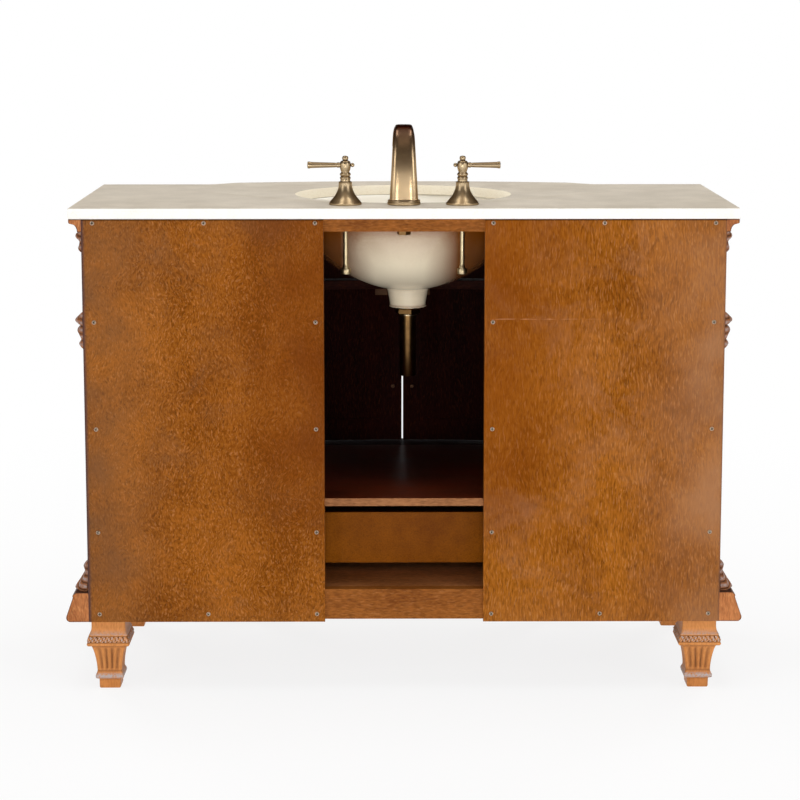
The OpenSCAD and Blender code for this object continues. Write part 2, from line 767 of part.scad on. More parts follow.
// Waste: flange in the bowl, barrel through the neck, and a spider that guides the stopper
module drain_body() {
    spider_z = waste_seat_z - 24;
    spider_h = 5;
    spider_t = 4;
    spider_half = barrel_bore_r + 0.5;
    guide_h = 8;
    bore_h = waste_seat_z + waste_flange_t - barrel_low_z + 2 * over;
    color(brass) translate([bowl_x, dy(cut_mid_d), 0]) {
        difference() {
            union() {
                translate([0, 0, waste_seat_z])
                    cylinder(h = waste_flange_t, r = waste_flange_r, $fn = round_fn);
                translate([0, 0, barrel_low_z])
                    cylinder(h = waste_seat_z + waste_flange_t - barrel_low_z, r = barrel_r, $fn = round_fn);
            }
            translate([0, 0, barrel_low_z - over]) cylinder(h = bore_h, r = barrel_bore_r, $fn = round_fn);
        }
        difference() {
            union() {
                for (a = [0, 90]) rotate([0, 0, a])
                    block([-spider_half, -spider_t / 2, spider_z],
                          [spider_half, spider_t / 2, spider_z + spider_h]);
                translate([0, 0, spider_z]) cylinder(h = guide_h, r = stem_r + 3, $fn = round_fn);
            }
            translate([0, 0, spider_z - over])
                cylinder(h = guide_h + 2 * over, r = stem_r + pin_gap, $fn = round_fn);
        }
    }
}

module drain_tailpiece() {
    top = barrel_low_z + tail_in;
    color(brass) translate([bowl_x, dy(cut_mid_d), tail_low_z]) difference() {
        cylinder(h = top - tail_low_z, r = tail_r, $fn = round_fn);
        translate([0, 0, -over])
            cylinder(h = top - tail_low_z + 2 * over, r = tail_r - tail_wall, $fn = round_fn);
    }
}

module drain_nut() {
    collar_h = 3;
    color(brass) translate([bowl_x, dy(cut_mid_d), neck_low_z - waste_nut_h]) difference() {
        union() {
            cylinder(h = waste_nut_h - collar_h, r = waste_nut_r, $fn = 6);
            cylinder(h = waste_nut_h, r = waste_nut_r - collar_h, $fn = round_fn);
        }
        translate([0, 0, -over]) cylinder(h = waste_nut_h + 2 * over, r = barrel_r + pin_gap, $fn = round_fn);
    }
}

// Push stopper: a domed cap on a stem
module drain_stopper() {
    cap_z = waste_seat_z + waste_flange_t + run_gap;
    stem_low_z = waste_seat_z - 38;
    color(brass) translate([bowl_x, dy(cut_mid_d), 0]) {
        translate([0, 0, cap_z]) rotate_extrude($fn = round_fn)
            polygon([[0, 0], [stopper_r - 1, 0], [stopper_r, 1], [stopper_r, 3], [stopper_r - 6, 5.2],
                     [0, 6.5]]);
        translate([0, 0, stem_low_z])
            cylinder(h = cap_z + over - stem_low_z, r = stem_r, $fn = round_fn);
    }
}

// Height of the ring under the spout
ring_h = 9;
// Middle line of the spout from its foot over its crest to its lip, as [forwards, up]
function spout_point(t) =
    let (a = [0, 0], b = [-14, spout_h * 1.06], c = [spout_reach * 0.62, spout_h * 1.22],
         d = [spout_reach, spout_h * 0.62])
    pow(1 - t, 3) * a + 3 * pow(1 - t, 2) * t * b + 3 * (1 - t) * t * t * c + pow(t, 3) * d;
function spout_normal(t) =
    let (e = spout_point(min(t + 0.01, 1)) - spout_point(max(t - 0.01, 0)), n = norm(e))
    [-e[1] / n, e[0] / n];
// Half the spout's thickness: thick at the foot, thin at the lip
function spout_half(t) = 17 - 12 * pow(t, 0.7);

// Flat arched spout: its side outline cut by its outline from the front
module spout() {
    n = 16;
    foot = [spout_half(0), -over];
    shoulder_z = spout_h * 0.82;
    crest_z = spout_h - ring_h;
    corner = 4;
    back_side = [for (i = [0 : n]) spout_point(i / n) + spout_half(i / n) * spout_normal(i / n)];
    front_side = [for (i = [n : -1 : 0]) spout_point(i / n) - spout_half(i / n) * spout_normal(i / n)];
    color(brass) translate([0, dy(tap_d), top_z + ring_h]) intersection() {
        rotate([90, 0, -90]) translate([0, 0, -spout_w]) linear_extrude(2 * spout_w)
            polygon(concat([[-foot[0], foot[1]]], back_side, front_side, [foot]));
        translate([0, spout_w, 0]) rotate([90, 0, 0]) linear_extrude(spout_reach + 2 * spout_w) polygon([
            [-spout_w / 2, 0], [spout_w / 2, 0], [spout_top_w / 2, shoulder_z],
            [spout_top_w / 2 - corner, crest_z], [-spout_top_w / 2 + corner, crest_z],
            [-spout_top_w / 2, shoulder_z]
        ]);
    }
}

// Height of the bell's neck, and the spindle over it that carries the lever
neck_top = bell_h + 6;
spindle_h = neck_top + 15;
spindle_r = 5;

// Ring under the spout, and a flared body with a spindle for each valve
module faucet_bases() {
    neck_r = 9;
    flare = [for (i = [0 : 8]) let (t = i / 8)
        [bell_top_r + (bell_r - bell_top_r) * pow(1 - t, 2.2), 4 + (bell_h - 4) * t]];
    color(brass) {
        translate([0, dy(tap_d), top_z]) cylinder(h = ring_h, r = bell_r + 0.5, $fn = round_fn);
        both_sides() translate([tap_spread / 2, dy(tap_d), top_z]) rotate_extrude($fn = round_fn)
            polygon(concat([[0, 0], [bell_r, 0]], flare,
                [[neck_r, bell_h], [neck_r, neck_top], [spindle_r, neck_top], [spindle_r, spindle_h],
                 [0, spindle_h]]));
    }
}

// Shanks through the stone, their lock nuts, and the supply tubes with their nuts
module faucet_shanks() {
    shank_r = 12;
    shank_low = 19;
    nut_r = 19;
    nut_h = 10;
    washer_t = 4;
    washer_rim = 4;
    spout_shank_r = 8;
    spout_nut_r = 13;
    spout_nut_h = 12;
    spout_shank_low = 36;
    flare_r = 7;
    flare_h = 9;
    tube_low_z = supply_z + supply_nut_h - over;
    color(brass) {
        translate([0, dy(tap_d), under_z - spout_shank_low]) {
            cylinder(h = top_t + spout_shank_low, r = spout_shank_r, $fn = round_fn);
            cylinder(h = spout_nut_h, r = spout_nut_r, $fn = 6);
            translate([0, 0, spout_shank_low - washer_t])
                cylinder(h = washer_t, r = spout_hole_r + washer_rim, $fn = round_fn);
        }
        both_sides() translate([tap_spread / 2, dy(tap_d), 0]) {
            translate([0, 0, under_z - shank_low])
                cylinder(h = top_t + shank_low, r = shank_r, $fn = round_fn);
            translate([0, 0, under_z - washer_t - nut_h]) cylinder(h = nut_h, r = nut_r, $fn = 6);
            translate([0, 0, under_z - washer_t])
                cylinder(h = washer_t, r = tap_hole_r + washer_rim, $fn = round_fn);
            difference() {
                union() {
                    translate([0, 0, tube_low_z]) {
                        cylinder(h = under_z - shank_low + over - tube_low_z, r = tube_r, $fn = round_fn);
                        cylinder(h = flare_h, r1 = flare_r, r2 = tube_r, $fn = round_fn);
                    }
                    translate([0, 0, supply_z])
                        cylinder(h = supply_nut_h, r = supply_nut_r, $fn = round_fn);
                }
                translate([0, 0, supply_z - over])
                    cylinder(h = supply_nut_h, r = supply_bore_r, $fn = round_fn);
            }
        }
    }
}

// Hub with two rings, a bulb and a finial, a lever to one side and a small ball opposite
module tap_lever(side) {
    hub_mid = neck_top + 26;
    lever_r = 4.5;
    lever_end_r = 7.3;
    ball_r = 3.8;
    ball_x = 13.2;
    pip_r = 2.2;
    hub = [
        [0, run_gap], [9, run_gap], [10, 1.5], [9.4, 4], [8.2, 5.5], [10, 8], [9.6, 10.5], [7.6, 13],
        [8.8, 17], [10, 22], [10, 29], [8.2, 33], [4.6, 34.6], [5.2, 36], [5.7, 39], [4.6, 42], [0, 43.3]
    ];
    color(brass) sided(side) translate([tap_spread / 2, dy(tap_d), top_z]) difference() {
        union() {
            translate([0, 0, neck_top]) rotate_extrude($fn = round_fn) polygon(hub);
            translate([0, 0, hub_mid]) rotate([0, 90, 0]) rotate_extrude($fn = round_fn) polygon([
                [0, 6], [lever_r, 6], [lever_r + 0.6, 14], [lever_r - 0.4, 16], [lever_r, 20],
                [lever_end_r - 1.6, lever_len - 8], [lever_end_r, lever_len - 4],
                [lever_end_r, lever_len - 1.5], [lever_end_r - 1.5, lever_len], [0, lever_len]
            ]);
            translate([0, 0, hub_mid]) rotate([0, -90, 0]) cylinder(h = ball_x, r = pip_r, $fn = round_fn);
            translate([-ball_x, 0, hub_mid]) sphere(r = ball_r, $fn = round_fn);
        }
        translate([0, 0, neck_top])
            cylinder(h = spindle_h - neck_top + 2 * run_gap, r = spindle_r + pin_gap, $fn = round_fn);
    }
}
module tap_lever_left() tap_lever("left");
module tap_lever_right() tap_lever("right");

module panel_screws() {
    dome = 1.4;
    color(steel) both_sides() at_screws() translate([0, dy(back_t + screw_len), 0]) rotate([-90, 0, 0]) {
        cylinder(h = back_t + screw_len, r = screw_r, $fn = round_fn);
        translate([0, 0, back_t + screw_len]) rotate_extrude($fn = round_fn)
            polygon([[0, 0], [screw_head_r, 0], [screw_head_r, screw_head_h - dome],
                     [screw_head_r - dome, screw_head_h], [0, screw_head_h]]);
    }
}

// Drawer box, open in front, with a groove along the outside of each side
module drawer_box(x0, x1, d0, d1, z0, z1) {
    groove_z = (z0 + z1) / 2;
    color(light_wood) difference() {
        block([x0, dy(d1), z0], [x1, dy(d0), z1]);
        block([x0 + box_t, dy(d1) - over, z0 + box_floor_t], [x1 - box_t, dy(d0 + box_t), z1 + over]);
        for (x = [x0, x1])
            block([x - groove_d, dy(d1) - over, groove_z - groove_h / 2],
                  [x + groove_d, dy(d0) + over, groove_z + groove_h / 2]);
    }
}

// Span of a side drawer's box, across
side_box_x = [bay_half + box_play, front_post_in - box_play];
function side_box_z(row) = [rows[row][0] + box_lift, rows[row][1] - box_drop];

// Runner: a bar on the carcass and a tongue in the drawer's groove
module runner(x_wall, x_box, d0, d1, z) {
    out = sign(x_wall - x_box);
    tongue_h = groove_h - 2 * run_gap;
    tip = x_box - out * (groove_d - run_gap);
    bar = x_box + out * run_gap;
    block([min(x_wall, tip), dy(d1), z - tongue_h / 2], [max(x_wall, tip), dy(d0), z + tongue_h / 2]);
    if (abs(x_wall - bar) > box_play)
        block([min(x_wall, bar), dy(d1), z - runner_h / 2], [max(x_wall, bar), dy(d0), z + runner_h / 2]);
}

module drawer_runners() {
    color(dark_wood) both_sides() {
        for (row = [0 : 2]) let (z = (side_box_z(row)[0] + side_box_z(row)[1]) / 2) {
            runner(bay_half, side_box_x[0], frame_d, side_d - rail_d, z);
            runner(side_in, side_box_x[1], back_t + rear_post, side_d - front_post, z);
        }
        runner(partition_in, wide_box_half, frame_d, pilaster_back_d, wide_box_z + wide_box_h / 2);
    }
}

// One half of each hinge: a leaf let into the wood, and knuckles on the pin's axis
module hinge_half(leaf_x0, leaf_x1, spans, bore_r) {
    for (z = hinge_zs) difference() {
        union() {
            block([leaf_x0, hinge_y + knuckle_r + 0.4, z - hinge_h / 2],
                  [leaf_x1, hinge_y + knuckle_r + hinge_leaf_w, z + hinge_h / 2]);
            for (s = spans) {
                block([leaf_x0, hinge_y, z + s[0]], [leaf_x1, hinge_y + knuckle_r + 1, z + s[1]]);
                translate([hinge_x, hinge_y, z + s[0]])
                    cylinder(h = s[1] - s[0], r = knuckle_r, $fn = round_fn);
            }
        }
        if (bore_r > 0) translate([hinge_x, hinge_y, z - hinge_h / 2])
            cylinder(h = hinge_h, r = bore_r, $fn = round_fn);
    }
}
knuckle_mid = hinge_h / 6;

// Fixed halves with their pins
module hinge_leaves() {
    color(brass) both_sides() {
        hinge_half(door_out, door_out + hinge_leaf_t,
            [[-hinge_h / 2, -knuckle_mid - run_gap], [knuckle_mid + run_gap, hinge_h / 2]], 0);
        for (z = hinge_zs) translate([hinge_x, hinge_y, z - hinge_h / 2])
            cylinder(h = hinge_h, r = hinge_pin_r, $fn = round_fn);
    }
}

catch_x = 30;
catch_w = 26;
catch_h = 13;
catch_t = 14;
plate_t = 1;

// Magnets under the rail over the doors
module door_catches() {
    back = front_t + plate_t + run_gap;
    color(steel) both_sides()
        bow_board(back, back + catch_t, catch_x, catch_x + catch_w, high_rail_z - catch_h, high_rail_z);
}

door_x = [front_gap, door_out - front_gap];
door_z = [door_row[0] + front_gap, door_row[1] - front_gap];
panel_front = 11;
panel_t = 6;
panel_in = 6;

// Bowed frame with a rebate for the panel, hinge mortises and the knob's hole
module door_frame(side) {
    x = [door_x[0] + stile_w, door_x[1] - stile_w];
    z = [door_z[0] + stile_w, door_z[1] - stile_w];
    color(wood) sided(side) difference() {
        bow_board(0, front_t, door_x[0], door_x[1], door_z[0], door_z[1]);
        bow_board(-over, front_t + over, x[0], x[1], z[0], z[1]);
        bow_board(panel_front, front_t + over, x[0] - panel_in, x[1] + panel_in,
                  z[0] - panel_in, z[1] + panel_in);
        for (hz = hinge_zs)
            block([door_x[1] - hinge_leaf_t, hinge_y, hz - hinge_h / 2],
                  [door_x[1] + over, hinge_y + knuckle_r + hinge_leaf_w, hz + hinge_h / 2]);
        on_bow(door_knob_x, door_knob_z) translate([0, front_t + over, 0]) to_front()
            cylinder(h = front_t + 2 * over, r = knob_screw_r + 0.1, $fn = round_fn);
    }
}
module door_left_frame() door_frame("left");
module door_right_frame() door_frame("right");

// Bowed panel with a raised field, held in the frame's rebate
module door_panel(side) {
    play = 0.2;
    in = panel_in - play;
    x = [door_x[0] + stile_w, door_x[1] - stile_w];
    z = [door_z[0] + stile_w, door_z[1] - stile_w];
    field = 22;
    color(wood) sided(side) {
        bow_board(panel_front + play, panel_front + panel_t, x[0] - in, x[1] + in, z[0] - in, z[1] + in);
        bow_board(panel_front - 6, panel_front + panel_t / 2, x[0] + field, x[1] - field,
                  z[0] + field, z[1] - field);
    }
}
module door_left_panel() door_panel("left");
module door_right_panel() door_panel("right");

// Turned knob on the front of a board, with its screw and the screw's head behind the board
module knob(grip) {
    to_front() {
        rotate_extrude($fn = round_fn) polygon([
            [0, 0], [knob_r - 4, 0], [knob_r - 4, 2], [knob_r - 8, 4], [knob_r - 9, 9], [knob_r - 8, 13],
            [knob_r - 3, 16], [knob_r, 20], [knob_r - 0.6, 23], [knob_r - 5, knob_len - 1.6],
            [0, knob_len]
        ]);
        translate([0, 0, -grip - 1]) cylinder(h = grip + 2, r = knob_screw_r, $fn = round_fn);
        translate([0, 0, -grip - 2.4]) cylinder(h = 2.4, r = 4.2, $fn = round_fn);
    }
}
module door_knob(side) {
    color(brass) sided(side) on_bow(door_knob_x, door_knob_z) knob(front_t);
}
module door_left_knob() door_knob("left");
module door_right_knob() door_knob("right");

// Moving halves of the hinges, and the plate that meets the magnet
module door_fittings(side) {
    color(brass) sided(side) {
        hinge_half(door_x[1] - hinge_leaf_t, door_x[1], [[-knuckle_mid, knuckle_mid]],
            hinge_pin_r + pin_gap);
        bow_board(front_t + seat_gap, front_t + plate_t, catch_x, catch_x + catch_w,
                  high_rail_z - catch_h, door_z[1]);
    }
}
module door_left_fittings() door_fittings("left");
module door_right_fittings() door_fittings("right");

// Front, box and knob of a side drawer; row 0 is the bottom one
module side_front(side, row) {
    x = [bay_half + front_gap, front_post_in - front_gap];
    z = [rows[row][0] + front_gap, rows[row][1] - front_gap];
    color(wood) sided(side) difference() {
        flat_front(x[0], x[1], z[0], z[1]);
        translate([(x[0] + x[1]) / 2, dy(side_d - front_t - over), (z[0] + z[1]) / 2]) to_front()
            cylinder(h = front_t + 2 * over, r = knob_screw_r + 0.1, $fn = round_fn);
    }
}
module side_box(side, row) {
    z = side_box_z(row);
    sided(side) drawer_box(side_box_x[0], side_box_x[1], side_d - front_t - box_len, side_d - front_t,
                           z[0], z[1]);
}
module side_knob(side, row) {
    color(brass) sided(side)
        translate([(bay_half + front_post_in) / 2, dy(side_d), (rows[row][0] + rows[row][1]) / 2])
            knob(front_t);
}
module drawer_left_top_front() side_front("left", 2);
module drawer_left_top_box() side_box("left", 2);
module drawer_left_top_knob() side_knob("left", 2);
module drawer_left_middle_front() side_front("left", 1);
module drawer_left_middle_box() side_box("left", 1);
module drawer_left_middle_knob() side_knob("left", 1);
module drawer_left_bottom_front() side_front("left", 0);
module drawer_left_bottom_box() side_box("left", 0);
module drawer_left_bottom_knob() side_knob("left", 0);
module drawer_right_top_front() side_front("right", 2);
module drawer_right_top_box() side_box("right", 2);
module drawer_right_top_knob() side_knob("right", 2);
module drawer_right_middle_front() side_front("right", 1);
module drawer_right_middle_box() side_box("right", 1);
module drawer_right_middle_knob() side_knob("right", 1);
module drawer_right_bottom_front() side_front("right", 0);
module drawer_right_bottom_box() side_box("right", 0);
module drawer_right_bottom_knob() side_knob("right", 0);

wide_knob_z = (wide_row[0] + wide_row[1]) / 2;

// Bowed front of the centre drawer, with a pocket behind each knob for its screw
module drawer_center_front() {
    half = door_out - front_gap;
    z = [wide_row[0] + front_gap, wide_row[1] - front_gap];
    pocket_r = 7;
    color(wood) difference() {
        bow_solid(-half, half, mid_d - wide_front_t, z[0], z[1]);
        bow_channel(-half, half, z[0], z[1]);
        both_sides() on_bow(wide_knob_x, wide_knob_z) {
            translate([0, front_t + over, 0]) to_front()
                cylinder(h = front_t + 2 * over, r = knob_screw_r + 0.1, $fn = round_fn);
            translate([0, front_t + wide_front_t, 0]) to_front()
                cylinder(h = wide_front_t, r = pocket_r, $fn = round_fn);
        }
    }
}
module drawer_center_box() {
    drawer_box(-wide_box_half, wide_box_half, wide_box_back_d, wide_box_back_d + box_len,
               wide_box_z, wide_box_z + wide_box_h);
}
module drawer_center_knobs() {
    color(brass) both_sides() on_bow(wide_knob_x, wide_knob_z) knob(front_t);
}

countertop();
side_panel_left();
side_panel_right();
posts();
partitions();
bottom_board();
center_shelf();
back_panel_left();
back_panel_right();
back_frame();
front_rails();
crown_moulding();
plinth_moulding();
leaf_carvings();
feet();
false_front();
sink_basin();
sink_clips();
drain_body();
drain_tailpiece();
drain_nut();
drain_stopper();
spout();
faucet_bases();
faucet_shanks();
tap_lever_left();
tap_lever_right();
panel_screws();
drawer_runners();
hinge_leaves();
door_catches();
door_left_frame();
door_left_panel();
door_left_knob();
door_left_fittings();
door_right_frame();
door_right_panel();
door_right_knob();
door_right_fittings();
drawer_left_top_front();
drawer_left_top_box();
drawer_left_top_knob();
drawer_left_middle_front();
drawer_left_middle_box();
drawer_left_middle_knob();
drawer_left_bottom_front();
drawer_left_bottom_box();
drawer_left_bottom_knob();
drawer_right_top_front();
drawer_right_top_box();
drawer_right_top_knob();
drawer_right_middle_front();
drawer_right_middle_box();
drawer_right_middle_knob();
drawer_right_bottom_front();
drawer_right_bottom_box();
drawer_right_bottom_knob();
drawer_center_front();
drawer_center_box();
drawer_center_knobs();
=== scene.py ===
import math
import bmesh
import bpy
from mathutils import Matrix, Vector


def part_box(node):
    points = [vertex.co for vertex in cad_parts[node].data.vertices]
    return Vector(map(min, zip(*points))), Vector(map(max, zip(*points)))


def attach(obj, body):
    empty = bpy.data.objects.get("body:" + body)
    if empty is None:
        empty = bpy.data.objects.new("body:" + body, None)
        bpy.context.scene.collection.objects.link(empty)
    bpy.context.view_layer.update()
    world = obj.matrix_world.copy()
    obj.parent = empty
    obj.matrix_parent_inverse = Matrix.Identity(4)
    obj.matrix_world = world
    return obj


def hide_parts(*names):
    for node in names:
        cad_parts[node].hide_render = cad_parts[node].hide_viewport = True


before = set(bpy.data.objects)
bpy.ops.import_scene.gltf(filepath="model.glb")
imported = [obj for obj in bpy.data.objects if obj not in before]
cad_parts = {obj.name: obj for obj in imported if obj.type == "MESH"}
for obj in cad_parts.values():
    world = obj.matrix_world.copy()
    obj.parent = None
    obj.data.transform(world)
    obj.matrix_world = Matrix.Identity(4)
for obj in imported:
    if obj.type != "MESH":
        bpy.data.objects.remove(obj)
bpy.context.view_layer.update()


# ---- Studio
# The unit is seen from behind, a little above its top, on a white floor under broad soft lamps.
# The lens is long and slightly shifted, so that the uprights stay nearly parallel.
def srgb(r, g, b):
    """Colour as read off a screen, made linear."""
    return tuple(c / 3294.6 if c <= 10.3 else ((c / 255 + 0.055) / 1.055) ** 2.4 for c in (r, g, b)) + (1.0,)


def put_node(tree, kind, inputs=None, **settings):
    """Adds a node, sets its options, and fills or links its inputs."""
    made = tree.nodes.new(kind)
    for name, value in settings.items():
        setattr(made, name, value)
    for name, value in (inputs or {}).items():
        if isinstance(value, bpy.types.NodeSocket):
            tree.links.new(value, made.inputs[name])
        else:
            made.inputs[name].default_value = value
    return made


def blank_material(name):
    made = bpy.data.materials.new(name)
    made.use_nodes = True
    made.node_tree.nodes.clear()
    return made, made.node_tree


def put_surface(tree, shader):
    put_node(tree, "ShaderNodeOutputMaterial", {"Surface": shader.outputs[0]})


def own_place(tree):
    """Where a point lies in the shared frame, which is also each piece's own."""
    return put_node(tree, "ShaderNodeTexCoord").outputs["Object"]


def one_axis(tree, place, axis):
    return put_node(tree, "ShaderNodeSeparateXYZ", {0: place}).outputs[axis]


def calc(tree, how, *values, clamp=False):
    """One step of arithmetic on numbers or sockets."""
    return put_node(tree, "ShaderNodeMath", dict(enumerate(values)), operation=how, use_clamp=clamp).outputs[0]


def seen_directly(tree):
    """1 for camera, mirror and glass rays, so that metal shows the same white ground as the camera."""
    rays = put_node(tree, "ShaderNodeLightPath")
    total = rays.outputs["Is Camera Ray"]
    for name in ("Is Glossy Ray", "Is Transmission Ray"):
        total = calc(tree, "ADD", total, rays.outputs[name], clamp=True)
    return total


camera = bpy.data.objects.new("rear_camera", bpy.data.cameras.new("rear_camera"))
bpy.context.scene.collection.objects.link(camera)
bpy.context.scene.camera = camera
camera.data.sensor_width = 36
camera.data.lens = 94.06
camera.data.shift_y = -0.15
camera.location = (0.029, 4.0571, 1.2895)
camera.rotation_euler = (math.radians(90 - 7.758), 0, math.radians(180 - 0.324))

bpy.context.scene.view_settings.view_transform = "Standard"
world = bpy.data.worlds.new("white_studio")
bpy.context.scene.world = world
world.use_nodes = True
sky = world.node_tree
sky.nodes.clear()
fill = put_node(sky, "ShaderNodeBackground", {"Color": (1, 1, 1, 1), "Strength": 0.29})
white = put_node(sky, "ShaderNodeBackground", {"Color": (1, 1, 1, 1), "Strength": 1.0})
both = put_node(sky, "ShaderNodeMixShader", {0: seen_directly(sky), 1: fill.outputs[0], 2: white.outputs[0]})
put_node(sky, "ShaderNodeOutputWorld", {"Surface": both.outputs[0]})

floor_paint, tree = blank_material("pale_floor")
matt = put_node(tree, "ShaderNodeBsdfDiffuse", {"Color": (0.86, 0.86, 0.86, 1)})
glow = put_node(tree, "ShaderNodeEmission", {"Color": (1, 1, 1, 1), "Strength": 1.0})
away = put_node(tree, "ShaderNodeVectorMath", {0: own_place(tree)}, operation="LENGTH").outputs["Value"]
share = put_node(tree, "ShaderNodeMapRange", {"Value": away, "From Min": 0.8, "From Max": 2.6, "To Min": 0.84,
                                              "To Max": 1.0}, interpolation_type="SMOOTHSTEP")
share = calc(tree, "MULTIPLY", seen_directly(tree), share.outputs[0])
both = put_node(tree, "ShaderNodeMixShader", {0: share, 1: matt.outputs[0], 2: glow.outputs[0]})
put_surface(tree, both)
floor_mesh = bpy.data.meshes.new("studio_floor")
floor_mesh.from_pydata([(-12, -12, 0), (12, -12, 0), (12, 12, 0), (-12, 12, 0)], [], [(0, 1, 2, 3)])
floor_mesh.materials.append(floor_paint)
studio_floor = bpy.data.objects.new("studio_floor", floor_mesh)
bpy.context.scene.collection.objects.link(studio_floor)

# Dark walls, a dim ceiling and two soft boxes give the metal its tones; only reflections meet them
flag_paint, tree = blank_material("black_flag")
put_surface(tree, put_node(tree, "ShaderNodeBsdfDiffuse", {"Color": (0.21, 0.175, 0.145, 1)}))
cloth_paint, tree = blank_material("dim_ceiling")
aside = calc(tree, "ABSOLUTE", one_axis(tree, own_place(tree), "X"))
middle = put_node(tree, "ShaderNodeMapRange", {"Value": aside, "From Min": 1.3, "From Max": 0.3, "To Min": 0.3,
                                               "To Max": 0.95}, interpolation_type="SMOOTHSTEP")
dim = put_node(tree, "ShaderNodeEmission", {"Color": srgb(190, 174, 158), "Strength": middle.outputs[0]})
put_surface(tree, dim)
wide, low, high = 4.6, 1.5, 4.4
walls = [(x, y, z) for z in (low, high) for x, y in ((-wide, -wide), (wide, -wide), (wide, wide), (-wide, wide))]
boxes = [(side * x, y, 4.3) for side in (-1, 1) for x, y in ((0.8, -1.2), (1.5, -1.2), (1.5, 1.6), (0.8, 1.6))]
flag_mesh = bpy.data.meshes.new("black_flags")
flag_mesh.from_pydata(walls + boxes, [], [(0, 1, 5, 4), (1, 2, 6, 5), (2, 3, 7, 6), (3, 0, 4, 7), (7, 4, 5, 6),
                                          (8, 9, 10, 11), (12, 13, 14, 15)])
box_paint, tree = blank_material("soft_box")
put_surface(tree, put_node(tree, "ShaderNodeEmission", {"Color": (1, 0.97, 0.92, 1), "Strength": 3.8}))
for paint in (flag_paint, cloth_paint, box_paint):
    flag_mesh.materials.append(paint)
for number, face in enumerate(flag_mesh.polygons):
    face.material_index = max(0, min(number - 3, 2))
flags = bpy.data.objects.new("black_flags", flag_mesh)
bpy.context.scene.collection.objects.link(flags)
flags.visible_camera = flags.visible_diffuse = flags.visible_transmission = flags.visible_shadow = False

for name, place, size, power in (
    ("rear_left", (2.9, 2.9, 1.9), (1.3, 2.0), 23),
    ("rear_right", (-2.9, 2.9, 1.9), (1.3, 2.0), 26),
    ("rear_strip_left", (0.76, 3.5, 0.60), (0.20, 0.65), 8),
    ("rear_strip_right", (-0.76, 3.5, 0.60), (0.20, 0.65), 7),
    ("bay_fill", (0.0, 3.2, 0.30), (0.6, 0.3), 29),
    ("front_left", (-2.7, -3.1, 1.9), (1.5, 2.0), 60),
    ("front_right", (2.7, -3.1, 1.9), (1.5, 2.0), 60),
    ("overhead", (0.0, 0.3, 3.4), (2.6, 2.2), 62),
):
    lamp = bpy.data.objects.new(name, bpy.data.lights.new(name, "AREA"))
    lamp.data.shape = "RECTANGLE"
    lamp.data.size, lamp.data.size_y = size
    lamp.data.energy = power
    lamp.location = place
    lamp.rotation_euler = (Vector((0, 0, 0.6)) - Vector(place)).to_track_quat("-Z", "Y").to_euler()
    lamp.visible_camera = False
    lamp.visible_glossy = name not in ("overhead", "bay_fill", "front_left", "front_right")
    bpy.context.scene.collection.objects.link(lamp)


# ---- Posts and rails
# Solid hardwood with a walnut stain: corner posts, the pilasters beside the doors, the frame
# behind the back panels and the rails of the face, all glued. Their arrises are slightly eased.
def effect_group(name, takes, gives):
    """Starts a shared effect from what it takes (name, kind, value) and what it gives (name, kind)."""
    group = bpy.data.node_groups.new(name, "ShaderNodeTree")
    for label, kind, value in takes:
        socket = group.interface.new_socket(label, in_out="INPUT", socket_type="NodeSocket" + kind)
        if value is not None:
            socket.default_value = value
    for label, kind in gives:
        group.interface.new_socket(label, in_out="OUTPUT", socket_type="NodeSocket" + kind)
    return group, put_node(group, "NodeGroupInput").outputs


def noise(tree, source, scale, detail):
    return put_node(tree, "ShaderNodeTexNoise", {"Vector": source, "Scale": scale, "Detail": detail}).outputs[0]


def scaled(tree, place, by):
    return put_node(tree, "ShaderNodeVectorMath", {0: place, 1: by}, operation="MULTIPLY").outputs[0]


def spread(tree, value, low, high, to_low=0.0, to_high=1.0):
    """Stretches the part of a value between two limits to the range 0 to 1, or to another range."""
    return put_node(tree, "ShaderNodeMapRange", {"Value": value, "From Min": low, "From Max": high,
                                                 "To Min": to_low, "To Max": to_high}).outputs[0]


def blend_colour(tree, share, one, two, how="MIX"):
    made = put_node(tree, "ShaderNodeMix", {0: share, 6: one, 7: two}, data_type="RGBA", blend_type=how)
    return made.outputs[2]


# Stained grain along Z: fine flecks, open pores, slow bands of figure and cloudy stain,
# and pale flecks that are painted glints of light off the lacquer
grain, given = effect_group("stained_grain", (
    ("Vector", "Vector", None), ("Pale", "Color", None), ("Deep", "Color", None), ("Flecks", "Float", 0.5),
    ("Pores", "Float", 0.4), ("Painted Glints", "Float", 0.2), ("Figure", "Float", 0.4), ("Cloud", "Float", 0.4),
    ("Waver", "Float", 0.02), ("Gloss", "Float", 0.4), ("Curl", "Float", 7.0), ("Short", "Float", 1.0),
), (("Color", "Color"), ("Roughness", "Float"), ("Height", "Float")))
drift = put_node(grain, "ShaderNodeTexNoise", {"Vector": given["Vector"], "Scale": given["Curl"], "Detail": 2.0})
drift = put_node(grain, "ShaderNodeVectorMath", {0: drift.outputs["Color"], 1: (0.5, 0.5, 0.5)},
                 operation="SUBTRACT")
drift = put_node(grain, "ShaderNodeVectorMath", {0: scaled(grain, drift.outputs[0], (1, 1, 0)),
                                                 3: given["Waver"]}, operation="SCALE")
bent = put_node(grain, "ShaderNodeVectorMath", {0: given["Vector"], 1: drift.outputs[0]}).outputs[0]
shorter = put_node(grain, "ShaderNodeCombineXYZ", {0: 1.0, 1: 1.0, 2: given["Short"]})
shorter = scaled(grain, bent, shorter.outputs[0])
noises = {}
